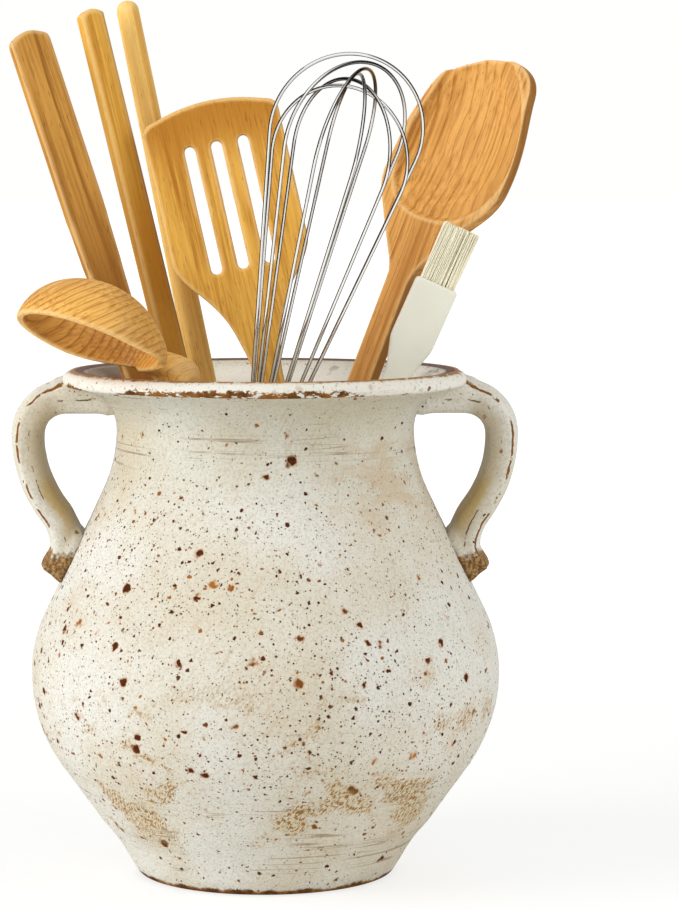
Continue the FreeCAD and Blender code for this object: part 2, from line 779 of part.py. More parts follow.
def make_turner():
    body = new_body("turner")
    handle, blade = size("turner_handle_width") / 2, size("turner_blade_width") / 2
    thickness = size("turner_thickness")
    start = size("turner_handle_length")
    blade_start = start + size("turner_neck_length")
    blade_end = blade_start + size("turner_blade_length")
    tip = blade_end + size("turner_crown")
    plate(body, mirrored([
        (handle, 0, handle * ROUND_END),
        (handle, start, size("turner_neck_rounding")),
        (blade, blade_start, size("turner_shoulder_rounding")),
        (blade, blade_end, size("turner_corner")),
    ], crown=[(0, tip, size("turner_crown_rounding"))]), thickness)

    thin = new_sketch(body, "Thinning", "YZ_Plane")
    half, edge = thickness / 2, size("turner_blade_edge") / 2
    for side in (1, -1):
        outline = [(half * side, start, None), (half * side, tip, None), (edge * side, tip, None)]
        rounded_outline(thin, outline)
    thinned = body.newObject("PartDesign::Pocket", "Thinned")
    thinned.Profile = thin
    thinned.Type = "ThroughAll"
    thinned.SideType = "Symmetric"

    slots = new_sketch(body, "Slots")
    slot, pitch = size("turner_slot_width") / 2, size("turner_slot_pitch")
    low = blade_start - size("turner_slot_setback")
    high = low + size("turner_slot_length")
    for place in range(SLOT_COUNT):
        middle = pitch * (place - (SLOT_COUNT - 1) / 2)
        rounded_outline(slots, [
            (middle - slot, low, slot * ROUND_END),
            (middle + slot, low, slot * ROUND_END),
            (middle + slot, high, slot * ROUND_END),
            (middle - slot, high, slot * ROUND_END),
        ])
    slotted = body.newObject("PartDesign::Pocket", "Slotted")
    slotted.Profile = slots
    slotted.Type = "ThroughAll"
    slotted.SideType = "Symmetric"
    return body


def make_whisk_handle():
    """Turned pieces of the whisk: its steel tube, the cap in its end and the plug that grips the wires."""
    wire, spread = size("whisk_wire_diameter") / 2, size("whisk_wire_spread")
    length, cap = size("whisk_handle_length"), size("whisk_cap_height")
    end, mouth = size("whisk_handle_end_radius"), size("whisk_handle_mouth_radius")
    bore = spread + wire + size("slip_gap")
    rounding = size("whisk_rim_rounding")
    tube = lathe("whisk_handle", [
        (bore, cap, None),
        (end, cap, None),
        (mouth, length, rounding),
        (bore, length, rounding),
    ])
    spigot = bore - size("slip_gap")
    spigot_end = cap + size("whisk_spigot_length")
    end_cap = lathe("whisk_end_cap", [
        (0, 0, None),
        (end, 0, size("whisk_cap_rounding")),
        (end, cap, None),
        (spigot, cap, None),
        (spigot, spigot_end, rounding),
        (0, spigot_end, None),
    ])
    grip = spread - wire - size("slip_gap")
    plug = lathe("whisk_plug", [
        (0, length - size("whisk_wire_hold"), None),
        (grip, length - size("whisk_wire_hold"), rounding),
        (grip, length - size("whisk_wire_setback"), rounding),
        (0, length - size("whisk_wire_setback"), None),
    ])
    return [tube, end_cap, plug]


def make_whisk_wire(place):
    """One balloon loop: two straight legs from the handle, tangent to the arc over the top."""
    body = new_body(f"whisk_wire_{place + 1}")
    step = size("whisk_wire_diameter") + size("whisk_wire_gap")
    middle = size("whisk_handle_length") + size("whisk_balloon_rise") - step * place
    foot = size("whisk_handle_length") - size("whisk_wire_hold")
    straight = size("whisk_handle_length") - size("whisk_wire_setback")
    spread, bend, lean = number("whisk_wire_spread"), number("whisk_wire_bend"), number("whisk_leg_lean")
    turn = math.radians(lean)
    leg = (spread + bend * (1 - math.cos(turn)), straight.value + bend * math.sin(turn))
    crown = leg[0] * math.cos(turn) + (middle.value - leg[1]) * math.sin(turn)
    top = (crown * math.cos(turn), middle.value - crown * math.sin(turn))
    spine = new_sketch(body, "Spine")
    right, right_bend, _, over, _, left_bend, left = smooth_chain(spine, [
        (line((spread, foot.value), (spread, straight.value)), True),
        (arc((spread + bend, straight.value), bend, 180 - lean, 180), False),
        (line(leg, top), True),
        (arc((0, middle.value), crown, -lean, 180 + lean), True),
        (line((-top[0], top[1]), (-leg[0], leg[1])), True),
        (arc((-spread - bend, straight.value), bend, 0, lean), False),
        (line((-spread, straight.value), (-spread, foot.value)), True),
    ])
    place_point(spine, right, START, size("whisk_wire_spread"), foot)
    place_point(spine, left, END, -size("whisk_wire_spread"), foot)
    dimension(spine, "DistanceY", (*ORIGIN, right, END), straight)
    dimension(spine, "DistanceY", (*ORIGIN, left, START), straight)
    spine.addConstraint(Sketcher.Constraint("Vertical", right))
    spine.addConstraint(Sketcher.Constraint("Vertical", left))
    dimension(spine, "Radius", (right_bend,), size("whisk_wire_bend"))
    dimension(spine, "Radius", (left_bend,), size("whisk_wire_bend"))
    arc_span(spine, right_bend, size("whisk_leg_lean"))
    place_point(spine, over, CENTRE, 0, middle)

    section = new_sketch(body, "Section", "XY_Plane", foot)
    radius = size("whisk_wire_diameter") / 2
    circle = Part.Circle(vector(spread, 0), vector(0, 0, 1), radius.value)
    round_wire = section.addGeometry(circle, False)
    place_point(section, round_wire, CENTRE, size("whisk_wire_spread"), 0)
    dimension(section, "Radius", (round_wire,), radius)
    pipe(body, section, spine)
    return body


def make_spoon():
    body = new_body("spoon")
    handle, head = size("spoon_handle_width") / 2, size("spoon_head_width") / 2
    thickness = size("spoon_thickness")
    neck = size("spoon_handle_length")
    shoulder = neck + size("spoon_neck_length")
    neck_round, shoulder_round = size("spoon_neck_rounding"), size("spoon_shoulder_rounding")
    board = plate(body, [
        (handle, 0, handle * ROUND_END),
        (handle, neck, neck_round),
        (head, shoulder, shoulder_round),
        (head, shoulder + size("spoon_long_side"), size("spoon_long_corner")),
        (-head, shoulder + size("spoon_short_side"), size("spoon_short_corner")),
        (-head, shoulder, shoulder_round),
        (-handle, neck, neck_round),
        (-handle, 0, handle * ROUND_END),
    ], thickness)
    soften(body, board, size("spoon_back_rounding"), thickness / 2)
    curve, depth = number("spoon_dish_curve"), number("spoon_dish_depth")
    # Where the ellipsoid crosses the front face it is this much narrower than at its middle
    crossing = math.sqrt(1 - ((curve - depth) / curve) ** 2)
    middle = shoulder.value + number("spoon_short_side") / 2
    dish = body.newObject("PartDesign::SubtractiveEllipsoid", "Dish")
    dish.Placement.Base = vector(0, -thickness.value / 2 - curve + depth, middle)
    bind(dish, Radius1=size("spoon_dish_length") / (2 * crossing),
         Radius2=size("spoon_dish_width") / (2 * crossing), Radius3=size("spoon_dish_curve"))
    return body


def make_brush():
    """The brush's moulded handle, the resin setting in its socket and the block of bristles."""
    body = new_body("brush_handle")
    handle, head = size("brush_handle_width") / 2, size("brush_head_width") / 2
    thickness, neck = size("brush_thickness"), size("brush_handle_length")
    head_start = neck + size("brush_neck_length")
    length = head_start + size("brush_head_length")
    board = plate(body, mirrored([
        (handle, 0, handle * ROUND_END),
        (handle, neck, size("brush_neck_rounding")),
        (head, head_start, size("brush_neck_rounding")),
        (head, length, size("brush_corner")),
    ]), thickness)
    soften(body, board, size("brush_edge"), thickness / 2, -thickness / 2)
    wall, gap = size("brush_socket_wall"), size("slip_gap")
    socket = body.newObject("PartDesign::SubtractiveBox", "Socket")
    bottom = length - size("brush_socket_depth")
    sit(socket, head - wall, thickness / 2 - wall, bottom, length)

    setting = doc.addObject("Part::Box", "brush_setting")
    resin_top = bottom + size("brush_setting_depth")
    inner_half, inner_depth = head - wall - gap, thickness / 2 - wall - gap
    sit(setting, inner_half, inner_depth, bottom, resin_top)
    bristles = doc.addObject("Part::Box", "brush_bristles")
    sit(bristles, inner_half, inner_depth, resin_top, length + size("brush_bristle_length"))
    return [body, setting, bristles]


def sit(box, half_across, half_deep, bottom, top):
    """Sizes a box about the utensil's axis, from one height to another."""
    bind(box, Length=half_across * 2, Width=half_deep * 2, Height=top - bottom)
    box.Placement.Base = vector(-half_across.value, -half_deep.value, bottom.value)


def check_and_write(pieces):
    """Stops on any failed object, then writes each piece to its own file."""
    doc.recompute()
    for item in doc.Objects:
        if {"Invalid", "Error"} & set(item.State):
            raise RuntimeError(f"{item.Label} did not compute: {item.State}")
    for piece in pieces:
        if piece.Shape.isNull() or not piece.Shape.isValid():
            raise RuntimeError(f"{piece.Label} has no valid shape")
    os.makedirs("parts", exist_ok=True)
    for piece in pieces:
        piece.Shape.exportStep(os.path.join("parts", f"{piece.Label}.step"))


fill_sheet()
crock, floor_radius = make_crock("crock_body", hollow=True)
core = make_crock("crock_core", hollow=False)[0]
pieces = [crock, make_strap("handle_right", 0, core), make_strap("handle_left", 180, core)]

wires = [make_whisk_wire(place) for place in range(WIRE_COUNT)]
for place, wire in enumerate(wires):
    wire.Placement.Rotation = FreeCAD.Rotation(vector(0, 0, 1), 180 / WIRE_COUNT * place)

places = {name: stand(name, floor_radius) for name in STANCES}
utensils = {
    "ladle": [make_ladle(places["ladle"])],
    "paddle": [make_paddle()],
    "spatula": [make_spatula()],
    "spurtle": [make_spurtle()],
    "turner": [make_turner()],
    "whisk": make_whisk_handle() + wires,
    "spoon": [make_spoon()],
    "brush": make_brush(),
}


for name, group in utensils.items():
    for piece in group:
        piece.Placement = places[name].multiply(piece.Placement)
    pieces += group
check_and_write(pieces)
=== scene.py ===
# %% [markdown]
# # A stoneware crock of kitchen tools
# The imported model is a fixed frame: each solid already stands where it belongs, in metres, with +Z up
# and the middle of the crock's foot at the origin. Everything here dresses that frame.

# %% Load the frame
import json
import math

import bmesh
import bpy
import numpy as np
from mathutils import Matrix, Vector, noise


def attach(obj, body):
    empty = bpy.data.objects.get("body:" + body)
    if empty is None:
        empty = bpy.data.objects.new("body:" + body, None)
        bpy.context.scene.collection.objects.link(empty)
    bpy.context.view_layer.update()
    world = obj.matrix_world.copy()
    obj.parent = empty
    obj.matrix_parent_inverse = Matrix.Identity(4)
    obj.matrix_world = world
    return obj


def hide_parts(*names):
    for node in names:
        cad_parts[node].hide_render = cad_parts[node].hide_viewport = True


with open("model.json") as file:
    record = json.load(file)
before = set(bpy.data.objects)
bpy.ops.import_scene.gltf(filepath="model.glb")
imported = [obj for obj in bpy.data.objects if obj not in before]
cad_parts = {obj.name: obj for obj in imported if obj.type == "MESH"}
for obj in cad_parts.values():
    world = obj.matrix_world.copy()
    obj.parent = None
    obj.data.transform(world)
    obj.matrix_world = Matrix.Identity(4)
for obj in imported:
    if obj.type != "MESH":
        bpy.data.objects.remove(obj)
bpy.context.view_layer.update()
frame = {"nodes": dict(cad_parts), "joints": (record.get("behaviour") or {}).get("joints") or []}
MM = 0.001

# %% [markdown]
# ## Camera
# A long lens stands about a metre and a half away, a little above the rim, and looks slightly down and
# to the right of the crock. Blender's lens length belongs to the longer side of the picture, here its
# height.

# %% Camera
PICTURE_HEIGHT = 909
FOCAL_PIXELS = 3429.6
CAMERA_PLACE = Vector((0.0, -1.4524, 0.3066))
LOOK_DOWN, LOOK_RIGHT = 5.038, 1.244

lens = bpy.data.cameras.new("camera")
lens.sensor_width = 36.0
lens.lens = FOCAL_PIXELS * lens.sensor_width / PICTURE_HEIGHT
lens.clip_end = 100.0
camera = bpy.data.objects.new("camera", lens)
camera.location = CAMERA_PLACE
camera.rotation_euler = (math.radians(90 - LOOK_DOWN), 0.0, math.radians(-LOOK_RIGHT))
bpy.context.scene.collection.objects.link(camera)
bpy.context.scene.camera = camera
print(f"camera: {lens.lens:.1f} mm lens")

# %% [markdown]
# ## Node helpers
# Materials are node trees. Small helpers keep the trees readable: some place a node and fill its
# sockets, some do arithmetic on masks, and two lay one colour over another. A socket takes a number, a
# colour or another socket. A mask is a number from 0 to 1 that says where something shows.

# %% Node helpers
MIX_COLOURS, MIX_RESULT = (6, 7), 2


def fill(tree, node, sockets):
    """Sets each named socket to a value, or links it to another socket."""
    for name, value in sockets.items():
        if isinstance(value, bpy.types.NodeSocket):
            tree.links.new(value, node.inputs[name])
        else:
            node.inputs[name].default_value = value


def add_node(tree, kind, sockets=None, **settings):
    node = tree.nodes.new(kind)
    for name, value in settings.items():
        setattr(node, name, value)
    fill(tree, node, sockets or {})
    return node


def put(tree, kind, sockets=None, **settings):
    return add_node(tree, f"ShaderNode{kind}", sockets, **settings)


def calc(tree, operation, *values):
    return put(tree, "Math", dict(enumerate(values)), operation=operation).outputs[0]


def times(tree, first, *others):
    """The product of masks and numbers."""
    for other in others:
        first = calc(tree, "MULTIPLY", first, other)
    return first


def step(tree, value, low, high):
    """0 below low and 1 above high, with a soft change between; low may be the larger."""
    sockets = {"Value": value, "From Min": low, "From Max": high}
    return put(tree, "MapRange", sockets, interpolation_type="SMOOTHSTEP").outputs["Result"]


def band(tree, value, rise, fall):
    """1 between two soft steps and 0 outside them."""
    return times(tree, step(tree, value, *rise), step(tree, value, *fall))


def waver(tree, value, cloud, amount):
    """A value pushed up and down by a cloud, which lies about a half."""
    return calc(tree, "MULTIPLY_ADD", calc(tree, "SUBTRACT", cloud, 0.5), amount, value)


def mix(tree, share, first, second, blend="MIX"):
    node = put(tree, "Mix", {"Factor": share}, data_type="RGBA", blend_type=blend)
    for socket, colour in zip(MIX_COLOURS, (first, second)):
        fill(tree, node, {socket: colour if isinstance(colour, bpy.types.NodeSocket) else (*colour, 1.0)})
    return node.outputs[MIX_RESULT]


def stain(tree, colour, tint, *masks):
    """Lays a tint over a colour, as strongly as the product of the masks says."""
    return mix(tree, times(tree, *masks), colour, tint)


print("node helpers ready")

# %% [markdown]
# ## Material helpers
# Textures need a place to be looked up at. It is the point's place on the object, or a value kept on the
# mesh as an attribute, so a finish stays put when its piece moves. Effects that several materials share
# become node groups, which work like functions with named inputs and outputs.

# %% Material helpers
def object_spot(tree):
    return put(tree, "TexCoord").outputs["Object"]


def sides_of(tree, vector):
    return put(tree, "SeparateXYZ", {0: vector}).outputs


def kept_value(tree, name, output="Fac"):
    return put(tree, "Attribute", attribute_name=name).outputs[output]


def vector_calc(tree, operation, sockets):
    return put(tree, "VectorMath", sockets, operation=operation).outputs


def stretch(tree, vector, *scales):
    return put(tree, "Mapping", {"Vector": vector, "Scale": scales}).outputs[0]


def clouds(tree, vector, scale=1.0, detail=3.0, roughness=0.55):
    sockets = {"Vector": vector, "Scale": scale, "Detail": detail, "Roughness": roughness}
    return put(tree, "TexNoise", sockets).outputs[0]


def bump(tree, height, strength, distance):
    sockets = {"Height": height, "Strength": strength, "Distance": distance}
    return put(tree, "Bump", sockets).outputs[0]


def new_material(name):
    material = bpy.data.materials.new(name)
    material.use_nodes = True
    tree = material.node_tree
    return material, tree, tree.nodes["Principled BSDF"]


def feed(tree, shader, **sockets):
    fill(tree, shader, {name.replace("_", " "): value for name, value in sockets.items()})


def new_group(name, inputs, outputs):
    """A shader node group with named sockets; returns its tree, its inputs and its output node."""
    tree = bpy.data.node_groups.new(name, "ShaderNodeTree")
    for socket, (kind, default) in inputs.items():
        made = tree.interface.new_socket(socket, in_out="INPUT", socket_type=f"NodeSocket{kind}")
        if default is not None:
            made.default_value = default
    for socket, kind in outputs.items():
        tree.interface.new_socket(socket, in_out="OUTPUT", socket_type=f"NodeSocket{kind}")
    return tree, tree.nodes.new("NodeGroupInput").outputs, tree.nodes.new("NodeGroupOutput")


def place_group(tree, group, sockets):
    """Places a node group; its sockets exist only once the group is set, so they are filled afterwards."""
    node = put(tree, "Group", node_tree=group)
    fill(tree, node, sockets)
    return node.outputs


print("material helpers ready")

# %% [markdown]
# ## Studio: sky and floor
# The crock stands on a plain pale floor under a white sky. Rays that go straight to the camera, or that
# bounce off shiny metal, see plain white; the rest of the light is a softer sky. For the camera the
# floor is mostly glow, which keeps the shadow faint and lets the floor fade into the sky without a line.

# %% Sky and floor
SKY_LIGHT, WARM_WHITE = 0.58, (1.0, 1.0, 0.99, 1.0)
FLOOR_HALF = 20.0
FLOOR_LIT, FLOOR_SEEN = (0.9, 0.9, 0.89), (0.26, 0.26, 0.255)
NEAR_GLOW, FAR_GLOW_GAIN, GLOW_REACH = 0.72, 0.2, (0.3, 1.2)


def stage_sheet(name, corners, material):
    """A flat four-cornered sheet that belongs to the studio."""
    mesh = bpy.data.meshes.new(name)
    mesh.from_pydata(corners, [], [(0, 1, 2, 3)])
    mesh.materials.append(material)
    sheet = bpy.data.objects.new(name, mesh)
    bpy.context.scene.collection.objects.link(sheet)
    return sheet


world = bpy.data.worlds.new("sky")
world.use_nodes = True
bpy.context.scene.world = world
sky = world.node_tree
path = put(sky, "LightPath").outputs
shown = calc(sky, "MAXIMUM", path["Is Camera Ray"], path["Is Glossy Ray"])
shown = calc(sky, "MAXIMUM", shown, path["Is Transmission Ray"])
sky_strength = calc(sky, "MULTIPLY_ADD", shown, 1.0 - SKY_LIGHT, SKY_LIGHT)
fill(sky, sky.nodes["Background"], {"Strength": sky_strength, "Color": WARM_WHITE})

paper, paper_tree, paper_shader = new_material("pale_floor")
seen = put(paper_tree, "LightPath").outputs["Is Camera Ray"]
from_middle = vector_calc(paper_tree, "LENGTH", {0: object_spot(paper_tree)})["Value"]
far = step(paper_tree, from_middle, *GLOW_REACH)
glow = times(paper_tree, seen, calc(paper_tree, "MULTIPLY_ADD", far, FAR_GLOW_GAIN, NEAR_GLOW))
feed(paper_tree, paper_shader, Base_Color=mix(paper_tree, seen, FLOOR_LIT, FLOOR_SEEN), Roughness=0.9,
     Emission_Color=WARM_WHITE, Emission_Strength=glow)
floor_corners = [(x * FLOOR_HALF, y * FLOOR_HALF, 0.0) for x, y in ((-1, -1), (1, -1), (1, 1), (-1, 1))]
stage_sheet("floor", floor_corners, paper)
bpy.context.scene.view_settings.view_transform = "Standard"
print("studio: sky and floor")

# %% [markdown]
# ## Studio: lamps and cards
# A large lamp on the left throws a faint shadow to the right, and a weaker one lights the right side.
# Two dark cards, seen only in reflections, give the polished wires their dark edges, as a photographer's
# flags do.

# %% Lamps and cards
LAMPS = {"lamp_left": ((-1.9, -0.8, 1.05), 1.4, 38.0), "lamp_right": ((1.8, -0.8, 1.1), 1.2, 17.0)}
LAMP_AIM = Vector((0.0, 0.0, 0.15))
CARDS = {"card_left": -0.75, "card_right": 0.75}
CARD_CORNERS = [(-1.0, -0.2), (1.0, -0.2), (1.0, 1.4), (-1.0, 1.4)]

for lamp_name, (lamp_place, lamp_size, lamp_power) in LAMPS.items():
    lamp = bpy.data.lights.new(lamp_name, "AREA")
    lamp.size = lamp_size
    lamp.energy = lamp_power
    lamp_object = bpy.data.objects.new(lamp_name, lamp)
    lamp_object.location = lamp_place
    lamp_object.rotation_euler = (LAMP_AIM - lamp_object.location).to_track_quat("-Z", "Y").to_euler()
    bpy.context.scene.collection.objects.link(lamp_object)

card_black, card_tree, card_shader = new_material("dark_card")
feed(card_tree, card_shader, Base_Color=(0.02, 0.02, 0.02, 1.0), Roughness=1.0)
for card_name, card_x in CARDS.items():
    card = stage_sheet(card_name, [(card_x, y, z) for y, z in CARD_CORNERS], card_black)
    card.visible_camera = card.visible_diffuse = card.visible_shadow = card.visible_transmission = False
print("studio:", len(LAMPS), "lamps and", len(CARDS), "cards")

# %% [markdown]
# ## Speckle group
# Iron in the clay bleeds through the glaze as specks, from pinpricks to spots of several millimetres.
# Each size is the same effect at another scale, so it is one node group: a cell texture gives every
# speck a place and random numbers, which decide whether it shows and how large it is, and a little noise
# frays its outline.

# %% Speckle group
FRAYS_PER_CELL, SMALLEST_SPECK, SPECK_CORE = 2.6, 0.3, 0.65

speckle, given, result = new_group("speckle", {
    "Vector": ("Vector", None), "Cells": ("Float", 200.0), "Share": ("Float", 0.3),
    "Radius": ("Float", 0.25), "Fray": ("Float", 0.3),
}, {"Mask": "Float", "Tone": "Float"})
fray_scale = times(speckle, given["Cells"], FRAYS_PER_CELL)
frays = put(speckle, "TexNoise", {"Vector": given["Vector"], "Detail": 2.0, "Scale": fray_scale})
fray = vector_calc(speckle, "SUBTRACT", {0: frays.outputs["Color"], 1: (0.5, 0.5, 0.5)})[0]
fray_size = calc(speckle, "DIVIDE", given["Fray"], given["Cells"])
fray = vector_calc(speckle, "SCALE", {0: fray, "Scale": fray_size})[0]
frayed = vector_calc(speckle, "ADD", {0: given["Vector"], 1: fray})[0]
cells = put(speckle, "TexVoronoi", {"Vector": frayed, "Scale": given["Cells"]}).outputs
dice = put(speckle, "SeparateColor", {0: cells["Color"]}).outputs
shows = calc(speckle, "LESS_THAN", dice[0], given["Share"])
few_large = calc(speckle, "POWER", dice[1], 2.0)
size_of = calc(speckle, "MULTIPLY_ADD", few_large, 1.0 - SMALLEST_SPECK, SMALLEST_SPECK)
reach = times(speckle, given["Radius"], size_of)
speck = step(speckle, cells["Distance"], reach, times(speckle, reach, SPECK_CORE))
fill(speckle, result, {"Mask": times(speckle, speck, shows), "Tone": dice[2]})


def specks(tree, vector, cells_per_metre, share, radius, fray=0.5):
    """Mask and random tone of specks; the radius is a share of the cell."""
    sockets = {"Vector": vector, "Cells": cells_per_metre, "Share": share, "Radius": radius, "Fray": fray}
    return place_group(tree, speckle, sockets)


print("speckle group:", len(speckle.nodes), "nodes")

# %% [markdown]
# ## Wood group
# The tools are cut from solid wood, so their figure runs through them. The group works in each tool's
# own frame, kept on the mesh as an attribute: growth rings round a pith that lies outside the piece,
# each ring darkening slowly and ending in a sharp line, fine fibres drawn out along the length, and
# short dark pores.

# %% Wood group
RING_POWER, RING_END = 5.0, (1.0, 0.93)

wood, given, result = new_group("wood", {
    "Vector": ("Vector", None), "Ring Gap": ("Float", 0.004), "Wander": ("Float", 0.004),
}, dict.fromkeys(("Rings", "Fibres", "Pores", "Drift"), "Float"))
drift = clouds(wood, stretch(wood, given["Vector"], 40.0, 40.0, 9.0), detail=2.0)
from_pith = vector_calc(wood, "LENGTH", {0: stretch(wood, given["Vector"], 1.0, 1.0, 0.05)})["Value"]
wandered = waver(wood, from_pith, drift, given["Wander"])
ring = calc(wood, "FRACT", calc(wood, "DIVIDE", wandered, given["Ring Gap"]))
late = times(wood, calc(wood, "POWER", ring, RING_POWER), step(wood, ring, *RING_END))
fibres = clouds(wood, stretch(wood, given["Vector"], 900.0, 900.0, 22.0))
dashes = clouds(wood, stretch(wood, given["Vector"], 2200.0, 2200.0, 160.0), detail=1.0)
pores = step(wood, dashes, 0.64, 0.72)
fill(wood, result, {"Rings": late, "Fibres": fibres, "Pores": pores, "Drift": drift})
print("wood group:", len(wood.nodes), "nodes")

# %% [markdown]
# ## Wood materials
# Every tool has its own pale and dark wood, ring spacing and darker end, so the material is a function. On
# top of the figure lie three marks that the mesh keeps as attributes or that follow its height: darker
# wood towards one end, pale edges that are partly wear from washing and partly painted highlight, and
# painted shade on the sides that face right.

# %% Wood materials
FIBRE_TONE, DRIFT_TONE, TONE_RANGE = 0.95, 0.7, (0.26, 0.9)
END_DARKENING, EDGE_WEAR_AND_HIGHLIGHT_SHARE, PORE_SHADE = 0.85, 0.65, 0.5
EDGE_WEAR_AND_HIGHLIGHT, DEEPENING = (0.95, 0.72, 0.38), 0.45


def wood_material(name, pale, dark, ring_gap, wander, rings=0.35, darker_end=(0.1, 0.2), gloss=0.1):
    material, tree, shader = new_material(name)
    grain = kept_value(tree, "grain", "Vector")
    figure = place_group(tree, wood, {"Vector": grain, "Ring Gap": ring_gap, "Wander": wander})
    tone = calc(tree, "MULTIPLY_ADD", figure["Rings"], rings, times(tree, figure["Fibres"], FIBRE_TONE))
    tone = waver(tree, tone, figure["Drift"], DRIFT_TONE)
    colour = mix(tree, step(tree, tone, *TONE_RANGE), pale, dark)
    # The wood is darker towards one end of the tool.
    colour = stain(tree, colour, dark, step(tree, sides_of(tree, grain)["Z"], *darker_end), END_DARKENING)
    # Edges are made paler, partly wear from washing and partly painted highlight.
    edge_wear_and_highlight = tuple(0.5 * part + 0.5 * bare for part, bare in zip(pale, EDGE_WEAR_AND_HIGHLIGHT))
    colour = stain(tree, colour, edge_wear_and_highlight, kept_value(tree, "edge"), EDGE_WEAR_AND_HIGHLIGHT_SHARE)
    deep = tuple(DEEPENING * part for part in dark)
    # Painted shade: sides that face right are darkened towards a deeper brown.
    colour = stain(tree, colour, deep, kept_value(tree, "painted_side_shade"))
    colour = stain(tree, colour, deep, figure["Pores"], PORE_SHADE)
    roughness = calc(tree, "MULTIPLY_ADD", figure["Fibres"], 0.2, 0.4)
    relief = calc(tree, "SUBTRACT", times(tree, figure["Fibres"], 0.6), figure["Pores"])
    feed(tree, shader, Base_Color=colour, Roughness=roughness, Normal=bump(tree, relief, 0.2, 0.3 * MM),
         Specular_IOR_Level=gloss)
    return material


print("wood materials ready")

# %% [markdown]
# ## Stoneware group
# One glaze covers the vessel and its handles, so its colour is a shared group: a mottled off-white, buff
# blushes where the glaze is thin, and iron specks in four sizes. The largest carry a rusty halo.

# %% Stoneware group
PALE_GLAZE, CREAM_GLAZE, BUFF_GLAZE = (0.74, 0.73, 0.67), (0.66, 0.61, 0.49), (0.62, 0.46, 0.29)
SANDY, RUST = (0.40, 0.34, 0.24), (0.52, 0.20, 0.03)
DARK_IRON, PALE_IRON = (0.075, 0.016, 0.002), (0.36, 0.13, 0.02)
LARGE_CELLS = 112.0

stoneware, given, result = new_group("stoneware", {
    "Vector": ("Vector", None), "Density": ("Float", 1.0),
}, {"Height": "Float", "Iron": "Float", "Color": "Color"})
spot_of = given["Vector"]
cream = step(stoneware, clouds(stoneware, spot_of, 16.0, 5.0), 0.36, 0.66)
glaze = mix(stoneware, cream, PALE_GLAZE, CREAM_GLAZE)
thin = step(stoneware, clouds(stoneware, spot_of, 22.0, 6.0, 0.7), 0.54, 0.78)
glaze = stain(stoneware, glaze, BUFF_GLAZE, thin, 0.55)
sand = step(stoneware, clouds(stoneware, spot_of, 1000.0, 2.0), 0.44, 0.66)
glaze = stain(stoneware, glaze, SANDY, sand, 0.34)
gather = step(stoneware, clouds(stoneware, spot_of, 13.0, 2.0), 0.2, 0.58)
gather = times(stoneware, gather, given["Density"])
sparse = calc(stoneware, "MULTIPLY_ADD", given["Density"], 0.5, 0.15)
iron = specks(stoneware, spot_of, LARGE_CELLS, gather, 0.36)["Mask"]
glaze = stain(stoneware, glaze, RUST, iron, 0.5)
speck_sizes = [
    (950.0, sparse, 0.36), (500.0, gather, 0.35), (250.0, gather, 0.33), (LARGE_CELLS, gather, 0.28),
]
for cells_per_metre, share, radius in speck_sizes:
    marks = specks(stoneware, spot_of, cells_per_metre, share, radius)
    tone = mix(stoneware, step(stoneware, marks["Tone"], 0.5, 1.0), DARK_IRON, PALE_IRON)
    glaze = stain(stoneware, glaze, tone, marks["Mask"])
    iron = calc(stoneware, "MAXIMUM", iron, marks["Mask"])
lumps = clouds(stoneware, spot_of, 260.0, 6.0, 0.65)
fill(stoneware, result, {
    "Color": glaze, "Height": calc(stoneware, "MULTIPLY_ADD", iron, -0.3, lumps), "Iron": iron})
print("stoneware group:", len(stoneware.nodes), "nodes")

# %% [markdown]
# ## Crock: the outline
# A thrown pot is round, so it is an outline swept once round an axis. The outline is walked like a
# turtle: each stretch runs straight or turns along an arc, with the same curves that the solid was built
# from. The walk goes from the middle of the foot, up the outside, over the lip and down the inside to
# the floor.

# %% Crock outline
BELLY_RADIUS, BELLY_HEIGHT = 100.0, 86.5
LOWER_CURVE, UPPER_CURVE, NECK_CURVE, FLARE_CURVE = 68.9, 60.8, 59.9, 16.6
WALL_LEAN, SHOULDER_LEAN, SHOULDER_LENGTH = 35.6, 25.6, 56.72
LIP_LAND, LIP_DEPTH, WALL, FLOOR = 1.8, 8.6, 5.0, 8.0
FOOT_ROUNDING, FLOOR_ROUNDING = 4.0, 6.0

lean_sine, lean_cosine = math.sin(math.radians(WALL_LEAN)), math.cos(math.radians(WALL_LEAN))
wall_outside = (BELLY_HEIGHT - FOOT_ROUNDING * (1 - lean_sine) - LOWER_CURVE * lean_sine) / lean_cosine
foot_radius = BELLY_RADIUS - LOWER_CURVE * (1 - lean_cosine) - wall_outside * lean_sine
foot_radius -= FOOT_ROUNDING * lean_cosine
inner_lower = LOWER_CURVE - WALL
wall_inside = BELLY_HEIGHT - inner_lower * lean_sine - FLOOR - FLOOR_ROUNDING * (1 - lean_sine)
wall_inside /= lean_cosine
floor_radius = BELLY_RADIUS - WALL - inner_lower * (1 - lean_cosine) - wall_inside * lean_sine
floor_radius -= FLOOR_ROUNDING * lean_cosine
mouth_curve = FLARE_CURVE + LIP_LAND + WALL

